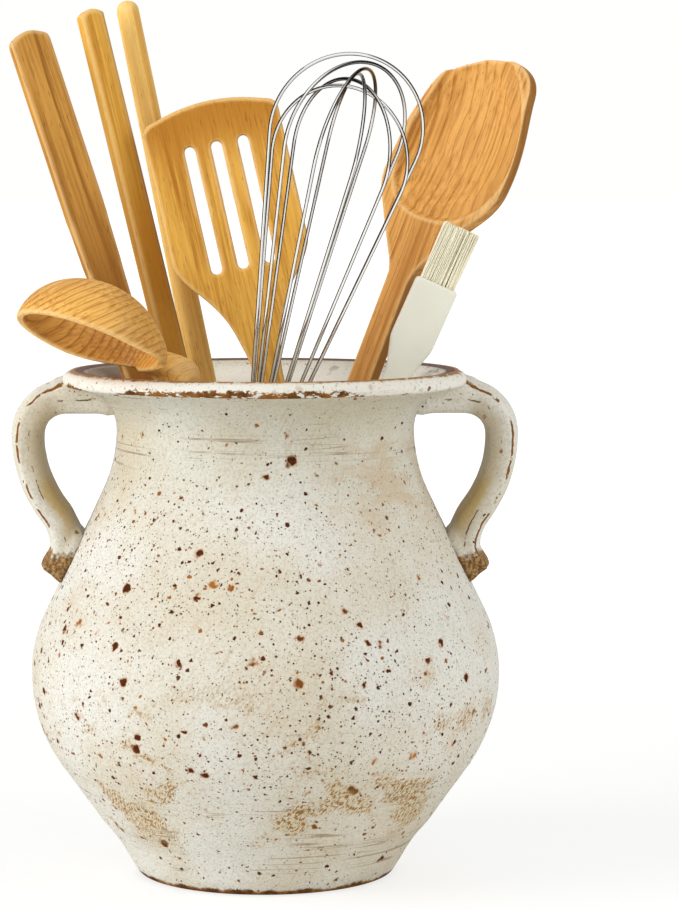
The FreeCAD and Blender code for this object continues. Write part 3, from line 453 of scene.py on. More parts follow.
# Each stretch is its length, or its radius and its turn to the left in degrees, and the spacing of points.
STRETCHES = [
    ("foot", foot_radius, 0, 5.0), ("foot edge", FOOT_ROUNDING, 90 - WALL_LEAN, 0.5),
    ("lower wall", wall_outside, 0, 1.3), ("lower belly", LOWER_CURVE, WALL_LEAN, 1.3),
    ("upper belly", UPPER_CURVE, SHOULDER_LEAN, 1.3), ("shoulder", SHOULDER_LENGTH, 0, 1.3),
    ("neck", NECK_CURVE, -SHOULDER_LEAN, 1.3), ("flare", FLARE_CURVE, -90, 0.9),
    ("lip underside", LIP_LAND, 0, 0.6), ("lip face", LIP_DEPTH / 2, 90, 0.4),
    ("lip top", LIP_DEPTH / 2, 90, 0.4), ("mouth", mouth_curve, 90, 1.2),
    ("throat", LIP_LAND, 0, 1.8), ("inner neck", NECK_CURVE + WALL, SHOULDER_LEAN, 3.0),
    ("inner shoulder", SHOULDER_LENGTH, 0, 3.0),
    ("inner upper belly", UPPER_CURVE - WALL, -SHOULDER_LEAN, 3.0),
    ("inner lower belly", inner_lower, -WALL_LEAN, 3.0), ("inner wall", wall_inside, 0, 3.0),
    ("floor edge", FLOOR_ROUNDING, WALL_LEAN - 90, 0.8), ("floor", floor_radius, 0, 6.0),
]


def walk(stretches, place=(0.0, 0.0)):
    """Radius, height, heading and walked length at each point, and the length where each stretch starts."""
    place, heading, walked = np.array(place), 0.0, 0.0
    rows, starts = [(*place, heading, walked)], {}
    for name, reach, turn, spacing in stretches:
        starts[name] = walked
        turned = math.radians(turn)
        length = reach * abs(turned) if turn else reach
        count = max(2, math.ceil(length / spacing))
        for share in np.linspace(0.0, 1.0, count + 1)[1:]:
            facing = heading + share * turned
            if turn:
                shift = (math.sin(facing) - math.sin(heading), math.cos(heading) - math.cos(facing))
                spot = place + math.copysign(reach, turn) * np.array(shift)
            else:
                spot = place + share * length * np.array((math.cos(heading), math.sin(heading)))
            rows.append((*spot, facing, walked + share * length))
        place, heading, walked = spot, facing, walked + length
    return np.array(rows), starts


outline, starts = walk(STRETCHES)
crest = starts["mouth"]
rim_height = outline[:, 1].max()
print(f"crock outline: {len(outline)} points, lip at {rim_height:.1f} mm")

# %% [markdown]
# ## Crock: the turned wall
# The outline is swept round. A hand-thrown wall is never quite true, so each point is pressed in a
# little by smooth noise, with faint throwing rings, and with a small waist above the foot and under the
# lip. Points are only pressed inwards, so the pot stays inside its true size.

# %% Wall points
AROUND = 256
SEAM = math.pi / 2
PRESS, INSIDE_PRESS, TRUE_FOOT = 0.55, 0.1, 8.0
WOBBLES = ((0.30, 0.018), (0.12, 0.07))
GROOVE_DEPTH, GROOVE_RATE = 0.12, 0.45
FOOT_WAIST, FOOT_WAIST_HEIGHT, FOOT_WAIST_HALF = 0.7, 15.0, 10.0
LIP_WAIST, LIP_WAIST_HALF = 1.5, 6.0


def hollow(value, middle, half_width):
    """1 at the middle, falling smoothly to 0 at half a width on either side."""
    share = np.clip(np.abs(value - middle) / half_width, 0.0, 1.0)
    return (1 - share * share) ** 2


def wall_points(rings):
    angles = SEAM + np.arange(AROUND) * 2 * math.pi / AROUND
    points = np.zeros((len(rings), AROUND, 3))
    for index, (radius, height, heading, walked) in enumerate(rings):
        normal = (math.sin(heading), -math.cos(heading))
        lift = min(1.0, height / TRUE_FOOT)
        groove = GROOVE_DEPTH * noise.noise(Vector((0.0, 0.0, height * GROOVE_RATE)))
        waist = FOOT_WAIST * hollow(height, FOOT_WAIST_HEIGHT, FOOT_WAIST_HALF)
        waist += LIP_WAIST * hollow(walked, starts["lip face"], LIP_WAIST_HALF)
        for turn, angle in enumerate(angles):
            spot = Vector((radius * math.cos(angle), radius * math.sin(angle), height))
            wobble = sum(depth * noise.noise(spot * rate) for depth, rate in WOBBLES)
            press = (PRESS + wobble + groove + waist) * lift if walked < crest else INSIDE_PRESS
            out = radius - press * normal[0]
            points[index, turn] = (out * math.cos(angle), out * math.sin(angle), height - press * normal[1])
    return points.reshape(-1, 3) * MM


wall_rings = outline[1:-1]
wall_spots = wall_points(wall_rings)
print("crock wall:", len(wall_rings), "rings of", AROUND, "points")

# %% [markdown]
# ## Crock: faces and unrolled map
# Neighbouring rings are joined by four-sided faces, and the foot and the floor are closed by a fan. The
# wall is also unrolled into a flat map, so that scratches can lean across it, and each point keeps its
# walked length past the lip's crest, which tells the glaze where it is. A last helper puts a finished
# mesh into the scene in place of the solid that it dresses.

# %% Wall faces
UV_RADIUS = 0.085


def crock_mesh(rings, spots):
    middles = [[0, 0, outline[end, 1] * MM] for end in (0, -1)]
    lower, upper, last = len(spots), len(spots) + 1, (len(rings) - 1) * AROUND
    lengths = rings[:, 3] * MM
    map_step = UV_RADIUS * 2 * math.pi / AROUND
    faces, uvs = [], []
    for ring in range(len(rings) - 1):
        base, above = ring * AROUND, (ring + 1) * AROUND
        bottom, top = lengths[ring], lengths[ring + 1]
        for turn in range(AROUND):
            after = (turn + 1) % AROUND
            faces.append((base + turn, base + after, above + after, above + turn))
            left, right = map_step * turn, map_step * (turn + 1)
            uvs += [(left, bottom), (right, bottom), (right, top), (left, top)]
    for turn in range(AROUND):
        after = (turn + 1) % AROUND
        faces += [(lower, after, turn), (upper, last + turn, last + after)]
        uvs += [(0.0, 0.0)] * 3 + [(0.0, lengths[-1])] * 3
    mesh = bpy.data.meshes.new("crock_wall")
    mesh.from_pydata(np.vstack([spots, middles]).tolist(), [], faces)
    mesh.uv_layers.new(name="wall").data.foreach_set("uv", np.array(uvs).ravel())
    walked = np.append(np.repeat(lengths, AROUND), [0.0, lengths[-1]]) - crest * MM
    mesh.attributes.new("past_crest", "FLOAT", "POINT").data.foreach_set("value", walked)
    mesh.shade_smooth()
    return mesh


def show(name, mesh, body, nodes, material):
    """Links a finished mesh as a piece of the object, in place of the named solids."""
    piece = bpy.data.objects.new(name, mesh)
    bpy.context.scene.collection.objects.link(piece)
    mesh.materials.clear()
    mesh.materials.append(material)
    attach(piece, body)
    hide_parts(*nodes)
    triangles = sum(len(face.vertices) - 2 for face in mesh.polygons)
    print(f"{name}: {triangles} triangles")


wall_mesh = crock_mesh(wall_rings, wall_spots)
print("crock wall:", len(wall_mesh.polygons), "faces")

# %% [markdown]
# ## Crock glaze: scuffs
# On top of the shared stoneware the vessel has marks that belong to places. Rubbed glaze turns ochre: a
# blush at the right of the neck, patches low on the belly broken up by rusty flecks, and faint leaning
# scratches. Height, side and noise decide where each shows; the flecks and scratches use the unrolled
# map, turned a little.

# %% Scuffs
# Places are in metres. A pair is where a mask starts and where it is full; two pairs are its rise and fall.
FRONT = (0.0, -0.02)
BLUSH_HEIGHT, BLUSH_SIDE = ((0.146, 0.166), (0.194, 0.182)), (0.012, 0.045)
SCUFF_HEIGHT, SCRATCH_LEAN = ((0.016, 0.034), (0.11, 0.06)), 0.5
BLUSH, SCUFF_BUFF, SCUFF_RUST = (0.56, 0.37, 0.19), (0.64, 0.47, 0.20), (0.29, 0.135, 0.018)
SCRATCH_TAN = (0.58, 0.40, 0.24)


def wall_scuffs(tree, colour, spot):
    sides = sides_of(tree, spot)
    high = times(tree, band(tree, sides["Z"], *BLUSH_HEIGHT), step(tree, sides["Y"], *FRONT))
    high = times(tree, high, step(tree, sides["X"], *BLUSH_SIDE))
    cloudy = step(tree, clouds(tree, stretch(tree, spot, 60.0, 60.0, 170.0), 1.0, 4.0, 0.6), 0.40, 0.62)
    colour = stain(tree, colour, BLUSH, high, cloudy, 0.42)
    flat = put(tree, "UVMap", uv_map="wall").outputs[0]
    turned = {"Vector": flat, "Angle": SCRATCH_LEAN}
    leaning = put(tree, "VectorRotate", turned, rotation_type="Z_AXIS").outputs[0]
    flecks = step(tree, clouds(tree, stretch(tree, leaning, 1100.0, 480.0, 1.0), 1.0, 3.0, 0.6), 0.49, 0.56)
    patch = step(tree, clouds(tree, stretch(tree, spot, 30.0, 30.0, 44.0), 1.0, 4.0, 0.6), 0.54, 0.62)
    scuffed = times(tree, band(tree, sides["Z"], *SCUFF_HEIGHT), patch)
    colour = stain(tree, colour, SCUFF_BUFF, scuffed, 0.28)
    colour = stain(tree, colour, SCUFF_RUST, scuffed, flecks, 0.95)
    scratches = step(tree, clouds(tree, stretch(tree, leaning, 620.0, 45.0, 1.0)), 0.58, 0.68)
    worn = step(tree, clouds(tree, spot, 17.0), 0.46, 0.62)
    return stain(tree, colour, SCRATCH_TAN, scratches, worn, 0.5)


print("scuffs ready")

# %% [markdown]
# ## Crock glaze: throwing lines and inside
# A thrower's fingers leave fine level lines, which show brown near the foot and on the neck. The neck is
# greyed by painted shade under the lip, the inside is paler glaze with painted light on it, and the left
# of the mouth, where the tools crowd, is shaded brown.

# %% Lines and inside
# Heights, sides and the walked length past the crest, which is positive inside, are in metres.
LINE_LEVEL, LINE_HALF = 0.56, (0.014, 0.002)
FOOT_LINES, NECK_LINES = (0.06, 0.04), (0.17, 0.18)
INSIDE, MOUTH_SHADE, SHADE_SIDE = (0.004, 0.02), (0.004, 0.008), (-0.03, -0.058)
LINE_BROWN, NECK_PAINTED_SHADE = (0.30, 0.22, 0.13), (0.86, 0.86, 0.82)
INSIDE_GLAZE_AND_PAINTED_LIGHT, SHADE_BROWN = (0.94, 0.96, 0.90), (0.17, 0.105, 0.045)


def wall_lines(tree, colour, spot, neck, past):
    sides = sides_of(tree, spot)
    turning = clouds(tree, stretch(tree, spot, 4.0, 4.0, 210.0), detail=2.0)
    beside = calc(tree, "ABSOLUTE", calc(tree, "SUBTRACT", turning, LINE_LEVEL))
    places = calc(tree, "MAXIMUM", step(tree, sides["Z"], *FOOT_LINES), step(tree, sides["Z"], *NECK_LINES))
    broken = times(tree, step(tree, clouds(tree, spot, 30.0), 0.45, 0.6), places)
    colour = stain(tree, colour, LINE_BROWN, step(tree, beside, *LINE_HALF), broken, 0.75)
    # Painted shade under the lip: the neck's colour is multiplied by a grey.
    colour = mix(tree, times(tree, neck, 0.8), colour, NECK_PAINTED_SHADE, "MULTIPLY")
    # The inside is paler glaze, painted paler and cooler still as painted light.
    colour = stain(tree, colour, INSIDE_GLAZE_AND_PAINTED_LIGHT, step(tree, past, *INSIDE), 0.85)
    shaded = times(tree, step(tree, past, *MOUTH_SHADE), step(tree, sides["X"], *SHADE_SIDE))
    return stain(tree, colour, SHADE_BROWN, shaded, 0.85)


print("lines and inside ready")

# %% [markdown]
# ## Crock glaze: lip and foot
# Glaze runs thin over an edge, so bare clay breaks through: a torn brown band under the lip, thickest in
# front, with islands of glaze left on it, a tan line along the crest that is darker on its inner side,
# small chips, and a ragged bare foot. The walked length past the crest places them, and noise tears
# their edges.

# %% Lip and foot
# Lengths past the crest are in metres, negative on the outside. The band also has sides, the foot a height.
BAND_SIDE, BAND_START = ((-0.066, -0.05), (0.05, 0.026)), (-0.0122, -0.0114)
BAND_END, BAND_THICKER, BAND_EDGE = -0.0115, 0.005, (0.0006, -0.0003)
CREST_START, CREST_END, CREST_TURN = (-0.0016, -0.0006), (0.0066, 0.0048), (0.0008, 0.0022)
LIP_FACE, BARE_FOOT = ((-0.0145, -0.012), (-0.001, -0.003)), (0.0030, 0.0018)
CREST_TAN, CREST_DARK, LIP_GLAZE = (0.33, 0.15, 0.045), (0.09, 0.03, 0.01), (0.84, 0.82, 0.75)
BARE_CLAY, BARE_DARK, BARE_PALE = (0.20, 0.085, 0.022), (0.10, 0.036, 0.007), (0.30, 0.12, 0.022)


def lip_and_foot(tree, colour, spot, past):
    """The colour with the marks of lip and foot, and the mask of bare clay."""
    sides = sides_of(tree, spot)
    ragged = clouds(tree, spot, 130.0, 6.0, 0.7)
    wavering = waver(tree, past, ragged, 7 * MM)
    wavering = waver(tree, wavering, clouds(tree, spot, 420.0, 3.0, 0.7), 5 * MM)
    front = times(tree, band(tree, sides["X"], *BAND_SIDE), step(tree, sides["Y"], *FRONT))
    thick = calc(tree, "MAXIMUM", front, step(tree, clouds(tree, spot, 20.0), 0.52, 0.66))
    over = calc(tree, "SUBTRACT", wavering, calc(tree, "MULTIPLY_ADD", thick, BAND_THICKER, BAND_END))
    islands = step(tree, clouds(tree, stretch(tree, spot, 240.0, 240.0, 620.0)), 0.56, 0.61)
    torn = times(tree, step(tree, over, *BAND_EDGE), step(tree, wavering, *BAND_START))
    torn = times(tree, torn, calc(tree, "SUBTRACT", 1.0, islands))
    crest_line = times(tree, step(tree, wavering, *CREST_START), step(tree, past, *CREST_END))
    crest_tint = mix(tree, step(tree, past, *CREST_TURN), CREST_TAN, CREST_DARK)
    colour = stain(tree, colour, crest_tint, crest_line, 0.95)
    on_lip = band(tree, past, *LIP_FACE)
    colour = stain(tree, colour, LIP_GLAZE, on_lip, 0.6)
    chips = specks(tree, spot, 300.0, 0.3, 0.36, 0.9)["Mask"]
    colour = stain(tree, colour, BARE_CLAY, chips, on_lip, 0.95)
    foot = step(tree, waver(tree, sides["Z"], ragged, 6 * MM), *BARE_FOOT)
    bare = calc(tree, "MAXIMUM", torn, foot)
    bare_colour = mix(tree, step(tree, ragged, 0.38, 0.62), BARE_DARK, BARE_PALE)
    return stain(tree, colour, bare_colour, bare), bare


print("lip and foot ready")

# %% [markdown]
# ## Crock glaze: all together
# The layers are laid in the order in which they lie on the pot: stoneware, scuffs, lines, and bare clay
# last. Specks are fewer near the foot and on the neck, so their density is worked out first.

# %% Crock glaze
NECK_ZONE, FOOT_SPECKS = ((-0.085, -0.045), (-0.011, -0.02)), (0.018, 0.06)
GLAZE_ROUGHNESS, GLAZE_GLOSS = 0.55, 0.08


def finish_glaze(tree, shader, colour, matt, relief):
    """Gives a stoneware shader its colour, rougher where it is matt, and its relief."""
    roughness = calc(tree, "MULTIPLY_ADD", matt, 0.2, GLAZE_ROUGHNESS)
    feed(tree, shader, Base_Color=colour, Roughness=roughness, Normal=bump(tree, relief, 0.4, 1.4 * MM),
         Specular_IOR_Level=GLAZE_GLOSS)


def crock_glaze():
    material, tree, shader = new_material("crock_glaze")
    spot = object_spot(tree)
    past = kept_value(tree, "past_crest")
    neck = band(tree, past, *NECK_ZONE)
    density = calc(tree, "MULTIPLY_ADD", step(tree, sides_of(tree, spot)["Z"], *FOOT_SPECKS), 0.6, 0.4)
    density = times(tree, density, calc(tree, "MULTIPLY_ADD", neck, -0.75, 1.0))
    body = place_group(tree, stoneware, {"Vector": spot, "Density": density})
    colour = wall_scuffs(tree, body["Color"], spot)
    colour = wall_lines(tree, colour, spot, neck, past)
    colour, bare = lip_and_foot(tree, colour, spot, past)
    throwing = clouds(tree, stretch(tree, spot, 6.0, 6.0, 420.0), detail=2.0)
    relief = calc(tree, "MULTIPLY_ADD", throwing, 0.7, body["Height"])
    relief = calc(tree, "MULTIPLY_ADD", bare, -0.4, relief)
    finish_glaze(tree, shader, colour, calc(tree, "MAXIMUM", bare, body["Iron"]), relief)
    return material


show("crock_wall", wall_mesh, "crock", ["crock_body"], crock_glaze())

# %% [markdown]
# ## Smoothing copies of solids
# The handles and the wooden tools have the right forms already, but a solid's edges are too sharp for
# hand work. A copy is joined up, filled with small even faces by a voxel remesh, and smoothed, which
# rounds every edge as sanding does. The remesh works on a grid, so a leaning tool is first turned
# upright: then its straight sides follow the grid and stay straight. Metal pieces keep their crisp
# edges.

# %% Smoothing helpers
SHARP_ANGLE = math.radians(35.0)


def joined(node):
    """A copy of a node's mesh with its loose triangles joined."""
    faces = bmesh.new()
    faces.from_mesh(frame["nodes"][node].data)
    bmesh.ops.remove_doubles(faces, verts=faces.verts, dist=0.001 * MM)
    bmesh.ops.recalc_face_normals(faces, faces=faces.faces)
    mesh = bpy.data.meshes.new(f"{node}_joined")
    faces.to_mesh(mesh)
    faces.free()
    return mesh


def sanded(node, voxel, passes, turned=Matrix()):
    """A copy of a node's mesh with rounded edges and small even faces, which follow the turned frame."""
    source = joined(node)
    source.transform(turned.inverted())
    rough = bpy.data.objects.new(f"{node}_rough", source)
    bpy.context.scene.collection.objects.link(rough)
    remesh = rough.modifiers.new("even faces", "REMESH")
    remesh.mode = "VOXEL"
    remesh.voxel_size = voxel * MM
    smooth = rough.modifiers.new("rounding", "SMOOTH")
    smooth.factor = 0.5
    smooth.iterations = passes
    ready = rough.evaluated_get(bpy.context.evaluated_depsgraph_get())
    mesh = bpy.data.meshes.new_from_object(ready)
    bpy.data.objects.remove(rough)
    mesh.transform(turned)
    mesh.shade_smooth()
    return mesh


def crisp(node):
    """A copy of a node's mesh, shaded smooth except along real edges."""
    mesh = joined(node)
    mesh.shade_smooth()
    mesh.set_sharp_from_angle(angle=SHARP_ANGLE)
    return mesh


print("smoothing helpers ready")

# %% [markdown]
# ## Points and kept values
# Hand work also bends a form a little. Reading all points of a mesh into one array lets a formula move
# them together, and writing one value for each point as an attribute lets a material know what the
# formula knew.

# %% Point helpers
def rows_of(collection, field):
    flat = np.empty(len(collection) * 3)
    collection.foreach_get(field, flat)
    return flat.reshape(-1, 3)


def points_of(mesh):
    return rows_of(mesh.vertices, "co")


def normals_of(mesh):
    return rows_of(mesh.vertex_normals, "vector")


def move_points(mesh, points):
    mesh.vertices.foreach_set("co", points.ravel())
    mesh.update()


def keep_values(mesh, name, values):
    kind, field = ("FLOAT", "value") if values.ndim == 1 else ("FLOAT_VECTOR", "vector")
    mesh.attributes.new(name, kind, "POINT").data.foreach_set(field, values.ravel())


def edges_of(mesh, size):
    """How far each point stands out from its neighbours, as a share of their spacing, smoothed."""
    points, ends = points_of(mesh), np.empty(len(mesh.edges) * 2, dtype=int)
    mesh.edges.foreach_get("vertices", ends)
    pairs = np.vstack((ends.reshape(-1, 2), ends.reshape(-1, 2)[:, ::-1]))
    count = np.bincount(pairs[:, 0], minlength=len(points))

    def around(values):
        return np.bincount(pairs[:, 0], values[pairs[:, 1]], len(points)) / count

    middle = np.column_stack([around(axis) for axis in points.T])
    stands = ((points - middle) * normals_of(mesh)).sum(axis=1) / size
    for _ in range(3):
        stands = around(stands)
    return stands


def soft(value, low, high):
    """0 at low and 1 at high, with a soft change between; low may be the larger."""
    share = np.clip((value - low) / (high - low), 0.0, 1.0)
    return share * share * (3 - 2 * share)


print("point helpers ready")

# %% [markdown]
# ## Handles: the middle line
# A pulled strap runs level out of the neck, bends down, sweeps inwards and curls out into a short tail.
# The same turtle walk that drew the pot draws its middle line, so each point of a handle can be told how
# far along the strap it lies and how far above the middle.

# %% Handle line
STRAP_DROP, STRAP_RUN, STRAP_BEND = 10.8, 20.55, 16.6
STRAP_SWEEP, STRAP_TAIL = (55.0, -37.0), (25.0, 66.0)
STRAP_SPACING = 0.5

neck_radius = outline[outline[:, 3] >= starts["flare"], 0][0]
strap, strap_starts = walk([
    ("run", STRAP_RUN, 0, STRAP_SPACING), ("bend", STRAP_BEND, -90, STRAP_SPACING),
    ("sweep", *STRAP_SWEEP, STRAP_SPACING), ("tail", *STRAP_TAIL, STRAP_SPACING),
], (neck_radius, rim_height - STRAP_DROP))
strap_end = strap[-1, 3]


def nearest(points, path):
    """Index of the nearest path point, in the plane of radius and height, for each point."""
    gaps = ((points[:, None, :] - path[None, :, :2]) ** 2).sum(axis=2)
    return gaps.argmin(axis=1)


print(f"handle line: {strap_end:.1f} mm long")

# %% [markdown]
# ## Handles: the form
# The strap is pressed on to the pot while both are wet. The copy of each solid is thinned towards its
# lower half, as a pull leaves it, its tail is thickened on top, and it spreads with a little fillet
# where it meets the wall. Its place along and across the strap is kept, so that the glaze can break
# brown along the ridge and leave the curled tail bare.

# %% Handle form
HANDLE_VOXEL, HANDLE_PASSES, STRAP_HALF = 0.9, 8, 7.5
THINNING, THIN_FROM, THIN_TO = 0.07, 8.0, 15.0
UNEVENNESS, UNEVEN_RATE = 0.3, 0.08
TAIL_SWELL, CURL_FROM, CURL_TO, CURL_SIDE = 2.4, 15.0, 4.0, (-4.0, 6.0)
FILLET, FILLET_REACH, SINK, SUNK_FROM = 6.0, 2.2, 2.4, 0.8


def pulled(points, side):
    """Thins and curls points as a pull does; returns their lengths along and above the middle line."""
    flat = np.column_stack((side * points[:, 0], points[:, 2]))
    at = nearest(flat, strap)
    along = strap[at, 3]
    outward = np.column_stack((-np.sin(strap[at, 2]), np.cos(strap[at, 2])))
    above = ((flat - strap[at, :2]) * outward).sum(axis=1)
    thin = THINNING * soft(along, strap_starts["bend"] + THIN_FROM, strap_starts["sweep"] + THIN_TO)
    uneven = np.array([noise.noise(Vector(point) * UNEVEN_RATE) for point in points])
    curled = soft(along, strap_end - CURL_FROM, strap_end - CURL_TO)
    swell = TAIL_SWELL * curled * soft(above, *CURL_SIDE)
    flat += outward * swell[:, None]
    flat -= outward * ((above - STRAP_HALF) * thin + UNEVENNESS * np.abs(uneven) * np.sign(above))[:, None]
    points[:, 0], points[:, 2] = side * flat[:, 0], flat[:, 1]
    return along, above


def pressed_on(mesh, points):
    """Spreads points into a fillet at the wall and sinks them in; returns their gap to the wall."""
    wall = outline[(outline[:, 3] > starts["lower wall"]) & (outline[:, 3] < crest)]
    reach = np.column_stack((np.hypot(points[:, 0], points[:, 1]), points[:, 2]))
    near = wall[nearest(reach, wall)]
    facing = np.column_stack((np.sin(near[:, 2]), -np.cos(near[:, 2])))
    gap = ((reach - near[:, :2]) * facing).sum(axis=1)
    spread = np.clip(FILLET - gap, 0.0, FILLET) ** 2 / (FILLET_REACH * FILLET)
    bearing = points[:, :2] / np.hypot(points[:, 0], points[:, 1])[:, None]
    from_wall = np.column_stack((bearing * facing[:, :1], facing[:, 1]))
    normals = normals_of(mesh)
    aside = normals - from_wall * (normals * from_wall).sum(axis=1)[:, None]
    points += aside * (spread * soft(FILLET - gap, 0.0, 1.0))[:, None]
    points -= from_wall * (SINK * soft(-gap, -SINK, -SUNK_FROM))[:, None]
    return gap


def handle_mesh(node, side):
    mesh = sanded(node, HANDLE_VOXEL, HANDLE_PASSES)
    points = points_of(mesh) / MM
    along, above = pulled(points, side)
    move_points(mesh, points * MM)
    gap = pressed_on(mesh, points)
    move_points(mesh, points * MM)
    for name, values in (("along", along), ("above", above), ("from_wall", gap)):
        keep_values(mesh, name, values * MM)
    return mesh


print("handle form ready")

# %% [markdown]
# ## Handles: the glaze
# The handles share the pot's stoneware, with fewer specks. Their lower side is darker brown, partly
# stain and partly painted shade, an ochre patch lies under the bend, two broken brown lines follow the
# ridge, and the tail is bare, scorched clay.

# %% Handle glaze
# Lengths are along the strap, above its middle line and away from the wall, in metres.
UNDERSIDE_ABOVE, UNDERSIDE_GAP, UNDERSIDE_ALONG = (0.003, -0.004), (0.001, 0.006), (0.018, 0.03)
OCHRE_ALONG, OCHRE_ABOVE = ((0.062, 0.072), (0.098, 0.082)), (-0.001, -0.004)
TAIL_ALONG = (0.0985, 0.101)
STAIN_AND_SHADE_BROWN, OCHRE = (0.40, 0.31, 0.17), (0.44, 0.28, 0.06)
SCORCH_DARK, SCORCH_PALE = (0.15, 0.072, 0.022), (0.40, 0.25, 0.11)
# Each ridge line is its place above the middle, its half width, where it breaks, and its colour.
RIDGE_LINES = (
    (0.0037, 0.0006, (0.44, 0.48), (0.20, 0.08, 0.012)),
    (-0.0015, 0.0004, (0.50, 0.54), (0.16, 0.11, 0.05)),
)


def handle_glaze():
    material, tree, shader = new_material("handle_glaze")
    spot = object_spot(tree)
    along, above, gap = (kept_value(tree, name) for name in ("along", "above", "from_wall"))
    body = place_group(tree, stoneware, {"Vector": spot, "Density": 0.12})
    ragged = clouds(tree, spot, 110.0, 5.0, 0.65)
    across = waver(tree, above, ragged, 6 * MM)
    # The lower side, away from the wall, is darker brown: partly stain, partly painted shade.
    under = times(tree, step(tree, across, *UNDERSIDE_ABOVE), step(tree, gap, *UNDERSIDE_GAP))
    colour = stain(tree, body["Color"], STAIN_AND_SHADE_BROWN, under, step(tree, along, *UNDERSIDE_ALONG), 0.65)
    patch = band(tree, along, *OCHRE_ALONG)
    colour = stain(tree, colour, OCHRE, patch, step(tree, across, *OCHRE_ABOVE), 0.6)
    thin_line = waver(tree, above, ragged, 3 * MM)
    breaks = clouds(tree, spot, 75.0, 4.0, 0.6)
    for middle, half, shown_from, tint in RIDGE_LINES:
        beside = calc(tree, "ABSOLUTE", calc(tree, "SUBTRACT", thin_line, middle))
        line = step(tree, beside, half, 0.6 * half)
        colour = stain(tree, colour, tint, line, step(tree, breaks, *shown_from))
    tail = step(tree, waver(tree, along, ragged, 20 * MM), *TAIL_ALONG)
    speckled = step(tree, clouds(tree, spot, 800.0), 0.38, 0.66)
    colour = stain(tree, colour, mix(tree, speckled, SCORCH_DARK, SCORCH_PALE), tail)
    finish_glaze(tree, shader, colour, calc(tree, "MAXIMUM", tail, body["Iron"]), body["Height"])
    return material


strap_glaze = handle_glaze()
for node, side in (("handle_left", -1), ("handle_right", 1)):
    show(f"{node}_strap", handle_mesh(node, side), "crock", [node], strap_glaze)

# %% [markdown]
# ## Wooden tools: copies with a grain
# Each tool's solid is copied and sanded in the same way. Its grain lies along its length, so the mesh
# also keeps every point's place in the tool's own frame: z along the lift of its joint, x across its
# widest side. The pith is set to one side of the piece by a shift of that frame, so each tool shows
# another figure, and an order of axes can turn the grain across the tool. Height is counted down from
# the top, so that wood can be darker towards one end. Points that stand out from their neighbours are
# edges, and points that face right get a little painted shade.

# %% Wooden copies
WOOD_VOXEL = 0.75
EDGE_STANDS, SIDE_SHADE_FACING = (0.02, 0.07), (0.3, 0.8)
joint_axes = {joint["name"]: Vector(joint["axis"]).normalized() for joint in frame["joints"]}


def own_frame(node, tool):
    """Matrix from a tool's own frame to the shared frame: z up its length, x across its widest side."""
    up = np.array(joint_axes[f"{tool}_lift"])
    points = points_of(frame["nodes"][node].data)
    middle = points.mean(axis=0)
    loose = points - middle
    loose -= np.outer(loose @ up, up)
    values, directions = np.linalg.eigh(loose.T @ loose)
    wide = directions[:, np.argmax(values)]
    wide = wide * (1.0 if wide[0] > 0 else -1.0)
    rows = np.column_stack((wide, np.cross(up, wide), up))
    return Matrix([[*rows[i], middle[i]] for i in range(3)] + [[0, 0, 0, 1]])


def wooden(tool, material, pith, passes=3, carve=None, order=(0, 1, 2), side_shade=0.35):
    """A sanded copy of a tool with its grain frame; the pith's place is in millimetres across the tool."""
    upright = own_frame(tool, tool)
    mesh = sanded(tool, WOOD_VOXEL, passes, upright)
    turned, middle = np.array(upright)[:3, :3], np.array(upright)[:3, 3]
    local = (points_of(mesh) - middle) @ turned
    if carve:
        local = carve(local / MM, turned) * MM
        move_points(mesh, local @ turned.T + middle)
    grain = local[:, order]
    keep_values(mesh, "grain", grain - np.array((*pith, grain[:, 2].max() / MM)) * MM)
    edge = soft(edges_of(mesh, WOOD_VOXEL * MM), *EDGE_STANDS)
    keep_values(mesh, "edge", edge)
    # Painted shade on the sides that face right, kept as an attribute.
    keep_values(mesh, "painted_side_shade", side_shade * soft(normals_of(mesh)[:, 0], *SIDE_SHADE_FACING))
    print(f"{tool}: {100 * (edge > 0.5).mean():.0f}% of the points lie on an edge")
    show(f"{tool}_wood", mesh, tool, [tool], material)


print("lifts:", ", ".join(joint_axes))

# %% [markdown]
# ## Wooden tools: carving
# Three tools have softer forms than their solids. The spoon gets a clear edge round its dish, a crowned
# tip and a fuller right side; the turner's flanks are hollowed where its blade narrows; the ladle's bowl
# sags a little and its neck swells. Each carve is a formula on the tool's own points, in millimetres
# from its top.

# %% Carving
# Heights are in millimetres from the top of the tool, so they are negative; the turner's neck alone is
# counted from the lower end. A tuck is a share of the width and the heights where it starts and is full.
SPOON_FRONT = -1.0
DISH_MIDDLE, DISH_HALF = (1.0, -36.0), (27.0, 38.5)
DISH_POWER, DISH_DEPTH, DISH_EDGE = 2.6, 2.4, (1.0, 0.8)
TIP_ZONE, LEFT_TUCK, CORNER_TUCK = (-80, -10), (0.14, -85, -30), (0.16, -36, -14)
RIGHT_FULLNESS, RIGHT_MIDDLE, RIGHT_HALF = 0.17, -44, 38.0
TIP_CROWN, CROWN_MIDDLE, CROWN_HALF = 2.6, -1.0, 24.0
TIP_FALL, TIP_CORNER, TIP_WIDTH = 4.0, 22.0, 44.0
TURNER_NECK, TURNER_NECK_HALF, TURNER_NECK_DEPTH = 231.0, 26.0, 0.26
LADLE_STEM, STEM_HALF, STEM_EDGE = -68, 4, (16.0, 8.0)
LADLE_NECK, LADLE_NECK_HALF, LADLE_SWELL = -56, 18.0, 0.6
BOWL_ZONE, BOWL_SAG = (-60, -30), (-3.0, 0.0, -3.6)


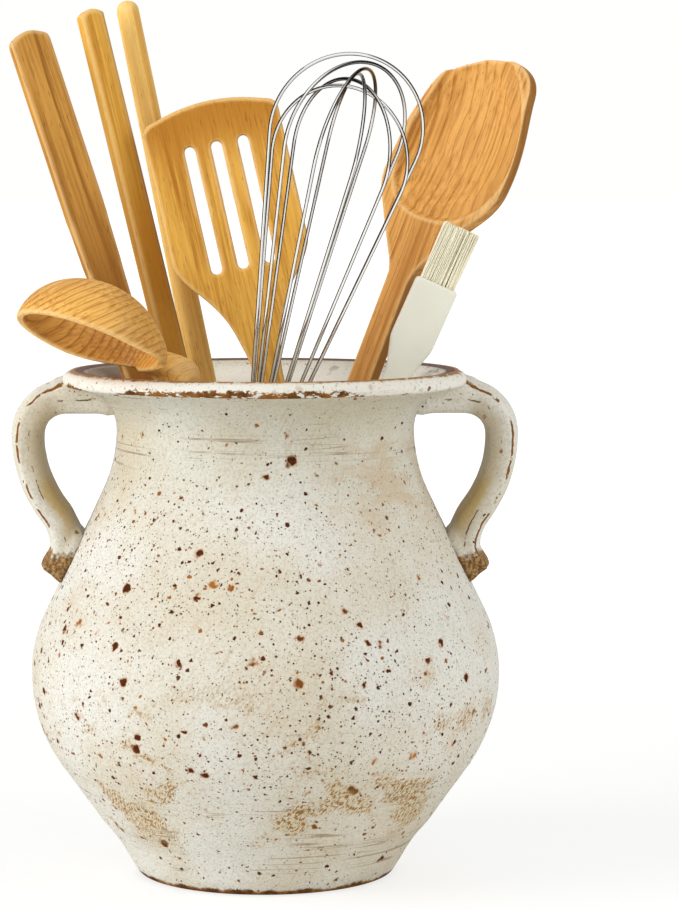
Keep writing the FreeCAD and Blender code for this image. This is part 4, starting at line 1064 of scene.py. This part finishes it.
def spoon_head(local, _):
    """Cuts the dish's edge clear, crowns the tip, tucks its left side in and fills its right side out."""
    x, down = local[:, 0].copy(), local[:, 2] - local[:, 2].max()
    across = np.abs((x - DISH_MIDDLE[0]) / DISH_HALF[0]) ** DISH_POWER
    across += np.abs((down - DISH_MIDDLE[1]) / DISH_HALF[1]) ** DISH_POWER
    front = soft(SPOON_FRONT * local[:, 1], 0.0, 1.0)
    local[:, 1] -= SPOON_FRONT * DISH_DEPTH * front * soft(across, *DISH_EDGE)
    tucked = sum(share * soft(down, low, high) for share, low, high in (LEFT_TUCK, CORNER_TUCK))
    fuller = RIGHT_FULLNESS * hollow(down, RIGHT_MIDDLE, RIGHT_HALF)
    local[:, 0] = np.where(x < 0, x * (1 - tucked), x * (1 + fuller))
    crown = TIP_CROWN * hollow(local[:, 0], CROWN_MIDDLE, CROWN_HALF)
    crown -= TIP_FALL * (np.clip(TIP_CORNER - local[:, 0], 0.0, None) / TIP_WIDTH) ** 3
    local[:, 2] += crown * soft(down, *TIP_ZONE)
    return local


def turner_neck(local, _):
    """Hollows the flanks where the blade narrows into the handle."""
    above_end = local[:, 2] - local[:, 2].min()
    local[:, 0] *= 1 - TURNER_NECK_DEPTH * hollow(above_end, TURNER_NECK, TURNER_NECK_HALF)
    return local


def ladle_bowl(local, turned):
    """Lets the bowl sag a little outwards from the top of its handle, and swells the neck under it."""
    down = local[:, 2] - local[:, 2].max()
    stem = local[np.abs(down - LADLE_STEM) < STEM_HALF]
    away = local[:, :2] - stem[:, :2].mean(axis=0)
    swell = LADLE_SWELL * hollow(down, LADLE_NECK, LADLE_NECK_HALF) * soft(np.hypot(*away.T), *STEM_EDGE)
    local[:, :2] += away * swell[:, None]
    return local + soft(down, *BOWL_ZONE)[:, None] * (np.array(BOWL_SAG) @ turned)


print("carving ready")

# %% [markdown]
# ## Wooden tools: the woods
# The tools come from different trees and have aged differently, from the pale spurtle to the brown
# paddle. Each wood has a pale and a dark colour, a spacing of rings in metres, and how far the rings
# wander.

# %% Woods
wooden("ladle", wood_material(
    "ladle_wood", (0.90, 0.50, 0.115), (0.46, 0.18, 0.024), 0.0026, 0.006, rings=0.5, gloss=0.3),
    pith=(-30.0, -34.0), passes=5, carve=ladle_bowl, order=(1, 2, 0))
wooden("paddle", wood_material(
    "paddle_wood", (0.66, 0.33, 0.065), (0.31, 0.115, 0.014), 0.013, 0.006, darker_end=(-0.06, -0.13)),
    pith=(48.0, 20.0))
wooden("spatula", wood_material(
    "spatula_wood", (0.82, 0.46, 0.08), (0.54, 0.23, 0.025), 0.007, 0.004, darker_end=(-0.05, -0.1)),
    pith=(30.0, 46.0), side_shade=0.6)
wooden("spurtle", wood_material(
    "spurtle_wood", (0.95, 0.63, 0.19), (0.74, 0.38, 0.075), 0.005, 0.003),
    pith=(22.0, 30.0), passes=4)
wooden("turner", wood_material(
    "turner_wood", (0.86, 0.48, 0.09), (0.44, 0.17, 0.018), 0.009, 0.004, rings=0.2, darker_end=(-0.04, -0.005)),
    pith=(14.0, 60.0), carve=turner_neck)
wooden("spoon", wood_material(
    "spoon_wood", (0.78, 0.40, 0.105), (0.44, 0.17, 0.028), 0.0042, 0.003, rings=0.4, darker_end=(-0.08, -0.24)),
    pith=(60.0, -26.0), passes=2, carve=spoon_head, side_shade=0.75)

# %% [markdown]
# ## Whisk
# Its wires, handle and cap are turned and bent metal, so their solids keep their form and are shaded
# smooth; the wires are only slimmed by a hair's breadth and drawn up a little. Polished steel shows
# little of its own colour: what makes it read is what it mirrors. A wire is so thin that its dark rim
# would be lost, so a painted dark reflection darkens the colour itself where the surface turns away
# from the eye. The plug in the handle is plain plastic, a material of two tones that the brush uses as
# well.

# %% Whisk
WIRE_STRETCH, WIRE_SLIMMING, WIRES = 0.024, 0.2 * MM, 6
STEEL_BRIGHT, STEEL_PAINTED_DARK_RIM, RIM_START = (0.95, 0.94, 0.91), (0.07, 0.065, 0.055), (0.06, 0.45)


def mottled(name, scale, detail, first, second, roughness):
    """A plain material whose colour wavers between two tones."""
    material, tree, shader = new_material(name)
    tone = clouds(tree, object_spot(tree), scale, detail)
    feed(tree, shader, Base_Color=mix(tree, tone, first, second), Roughness=roughness)
    return material


steel, steel_tree, steel_shader = new_material("polished_steel")
turned_away = put(steel_tree, "LayerWeight", {"Blend": 0.5}).outputs["Facing"]
handling = clouds(steel_tree, object_spot(steel_tree), 260.0, 4.0)
# Painted dark reflection: the steel's colour darkens where the surface turns away from the eye.
feed(steel_tree, steel_shader, Metallic=1.0,
     Base_Color=mix(steel_tree, step(steel_tree, turned_away, *RIM_START), STEEL_BRIGHT, STEEL_PAINTED_DARK_RIM),
     Roughness=calc(steel_tree, "MULTIPLY_ADD", handling, 0.06, 0.03))
plug = mottled("plug_plastic", 400.0, 2.0, (0.05, 0.05, 0.05), (0.09, 0.09, 0.09), 0.45)
whisk_up = np.array(joint_axes["whisk_lift"])
handle_top = (points_of(frame["nodes"]["whisk_handle"].data) @ whisk_up).max()
for node in ["whisk_handle", "whisk_end_cap"] + [f"whisk_wire_{count + 1}" for count in range(WIRES)]:
    metal = crisp(node)
    if "wire" in node:
        bends = points_of(metal)
        rise = np.clip(bends @ whisk_up - handle_top, 0.0, None)
        drawn = bends + np.outer(WIRE_STRETCH * rise, whisk_up)
        move_points(metal, drawn - WIRE_SLIMMING * normals_of(metal))
    show(f"{node}_steel", metal, "whisk", [node], steel)
show("whisk_plug_plastic", crisp("whisk_plug"), "whisk", ["whisk_plug"], plug)

# %% [markdown]
# ## Pastry brush: nodes for its bristles
# Hundreds of bristles repeat, so Geometry Nodes make them: a grid of roots gathered into columns, a thin
# tapering hair at every root, and a small random lean and length. The seeds are fixed, so the brush
# comes out the same each time.

# %% Bristle nodes
ROOT_STRAY, GATHERING, HAIR_TAPER = 0.12 * MM, 0.11, -0.45
HAIR_LEAN, HAIR_TURN, SHORTEST_HAIR = 0.02, 1.2, 0.965
HAIR_SIDES, HAIR_POINTS = 5, 5
ROOT_SEED, LEAN_SEED, LENGTH_SEED = 3, 5, 8
BRISTLE_INPUTS = {
    "Width": "Float", "Depth": "Float", "Length": "Float", "Thickness": "Float", "Columns": "Float",
    "Roots Across": "Int", "Roots Deep": "Int", "Material": "Material",
}


def chance(tree, low, high, seed):
    """A random vector for each root."""
    sockets = {0: low, 1: high, "Seed": seed}
    return add_node(tree, "FunctionNodeRandomValue", sockets, data_type="FLOAT_VECTOR").outputs[0]


def bristle_roots(tree, given):
    grid = add_node(tree, "GeometryNodeMeshGrid", {
        "Size X": given["Width"], "Size Y": given["Depth"],
        "Vertices X": given["Roots Across"], "Vertices Y": given["Roots Deep"]})
    place = add_node(tree, "GeometryNodeInputPosition").outputs[0]
    pitch = calc(tree, "DIVIDE", given["Width"], given["Columns"])
    phase = times(tree, calc(tree, "DIVIDE", sides_of(tree, place)["X"], pitch), 2 * math.pi)
    gather = times(tree, calc(tree, "SINE", phase), pitch, GATHERING)
    stray = chance(tree, (-ROOT_STRAY, -ROOT_STRAY, 0.0), (ROOT_STRAY, ROOT_STRAY, 0.0), ROOT_SEED)
    gathered = put(tree, "CombineXYZ", {"X": gather}).outputs[0]
    shift = vector_calc(tree, "ADD", {0: gathered, 1: stray})[0]
    moved = {"Geometry": grid.outputs["Mesh"], "Offset": shift}
    return add_node(tree, "GeometryNodeSetPosition", moved).outputs[0]


def one_bristle(tree, given):
    tip = put(tree, "CombineXYZ", {"Z": given["Length"]}).outputs[0]
    stem = add_node(tree, "GeometryNodeCurvePrimitiveLine", {"End": tip}).outputs[0]
    stem = add_node(tree, "GeometryNodeResampleCurve", {"Curve": stem, "Count": HAIR_POINTS}).outputs[0]
    share = add_node(tree, "GeometryNodeSplineParameter").outputs["Factor"]
    taper = calc(tree, "MULTIPLY_ADD", share, HAIR_TAPER, 1.0)
    stem = add_node(tree, "GeometryNodeSetCurveRadius", {"Curve": stem, "Radius": taper}).outputs[0]
    round_hair = {"Resolution": HAIR_SIDES, "Radius": given["Thickness"]}
    girth = add_node(tree, "GeometryNodeCurvePrimitiveCircle", round_hair).outputs[0]
    swept = {"Curve": stem, "Profile Curve": girth, "Fill Caps": True}
    return add_node(tree, "GeometryNodeCurveToMesh", swept).outputs[0]


def bristle_tree():
    tree = bpy.data.node_groups.new("bristles", "GeometryNodeTree")
    tree.interface.new_socket("Geometry", in_out="OUTPUT", socket_type="NodeSocketGeometry")
    for name, kind in BRISTLE_INPUTS.items():
        tree.interface.new_socket(name, in_out="INPUT", socket_type=f"NodeSocket{kind}")
    given = tree.nodes.new("NodeGroupInput").outputs
    hairs = add_node(tree, "GeometryNodeInstanceOnPoints", {
        "Points": bristle_roots(tree, given), "Instance": one_bristle(tree, given),
        "Rotation": chance(tree, (-HAIR_LEAN, -HAIR_LEAN, 0.0), (HAIR_LEAN, HAIR_LEAN, HAIR_TURN), LEAN_SEED),
        "Scale": chance(tree, (1.0, 1.0, SHORTEST_HAIR), (1.0, 1.0, 1.0), LENGTH_SEED)})
    solid = add_node(tree, "GeometryNodeRealizeInstances", {"Geometry": hairs.outputs[0]}).outputs[0]
    dressed = add_node(tree, "GeometryNodeSetMaterial", {"Geometry": solid, "Material": given["Material"]})
    tree.links.new(dressed.outputs[0], tree.nodes.new("NodeGroupOutput").inputs[0])
    return tree


bristle_nodes = bristle_tree()
print("bristle nodes:", len(bristle_nodes.nodes))

# %% [markdown]
# ## Pastry brush: growing the bristles
# The hairs fill the block that the solid keeps free for them. The modifier's inputs are found by name and
# set by identifier, its result is taken as a plain mesh in the brush's own frame, and the mesh is then
# moved to its place.

# %% Brush bristles
HAIR, MARGIN = 0.26 * MM, 0.55 * MM
COLUMNS, ROOTS_ACROSS, ROOTS_DEEP = 9.0, 36, 9

bristle = mottled("bristle", 900.0, 2.0, (0.90, 0.82, 0.56), (0.98, 0.95, 0.80), 0.4)
brush_frame = own_frame("brush_handle", "brush")
brush_inverse = np.array(brush_frame.inverted())
block = points_of(frame["nodes"]["brush_bristles"].data) @ brush_inverse[:3, :3].T + brush_inverse[:3, 3]
block_low, block_high = block.min(axis=0), block.max(axis=0)
block_size = block_high - block_low
tufts = bpy.data.objects.new("bristle_roots", bpy.data.meshes.new("bristle_roots"))
bpy.context.scene.collection.objects.link(tufts)
growth = tufts.modifiers.new("bristles", "NODES")
growth.node_group = bristle_nodes
wanted = {
    "Width": block_size[0] - 2 * MARGIN, "Depth": block_size[1] - 2 * MARGIN, "Length": block_size[2],
    "Thickness": HAIR, "Columns": COLUMNS, "Roots Across": ROOTS_ACROSS, "Roots Deep": ROOTS_DEEP,
    "Material": bristle,
}
for socket in bristle_nodes.interface.items_tree:
    if socket.in_out == "INPUT":
        growth[socket.identifier] = wanted[socket.name]
hair_mesh = bpy.data.meshes.new_from_object(tufts.evaluated_get(bpy.context.evaluated_depsgraph_get()))
bpy.data.objects.remove(tufts)
root = Vector(((block_low[0] + block_high[0]) / 2, (block_low[1] + block_high[1]) / 2, block_low[2]))
hair_mesh.transform(brush_frame @ Matrix.Translation(root))
hair_mesh.shade_smooth()
show("brush_hair", hair_mesh, "brush", ["brush_bristles"], bristle)

# %% [markdown]
# ## Pastry brush: handle and setting
# The handle is moulded in warm white plastic, so a smoothed copy of its solid is enough. The bristles
# are set in a block of dark resin, which stays inside the handle's head and keeps its crisp form.

# %% Brush handle
GRIP_VOXEL, GRIP_PASSES = 0.55, 4

plastic = mottled("brush_plastic", 60.0, 4.0, (0.76, 0.74, 0.62), (0.85, 0.84, 0.73), 0.38)
grip_mesh = sanded("brush_handle", GRIP_VOXEL, GRIP_PASSES, brush_frame)
show("brush_grip", grip_mesh, "brush", ["brush_handle"], plastic)
resin = mottled("resin", 500.0, 2.0, (0.16, 0.08, 0.02), (0.26, 0.14, 0.04), 0.3)
show("brush_set", crisp("brush_setting"), "brush", ["brush_setting"], resin)
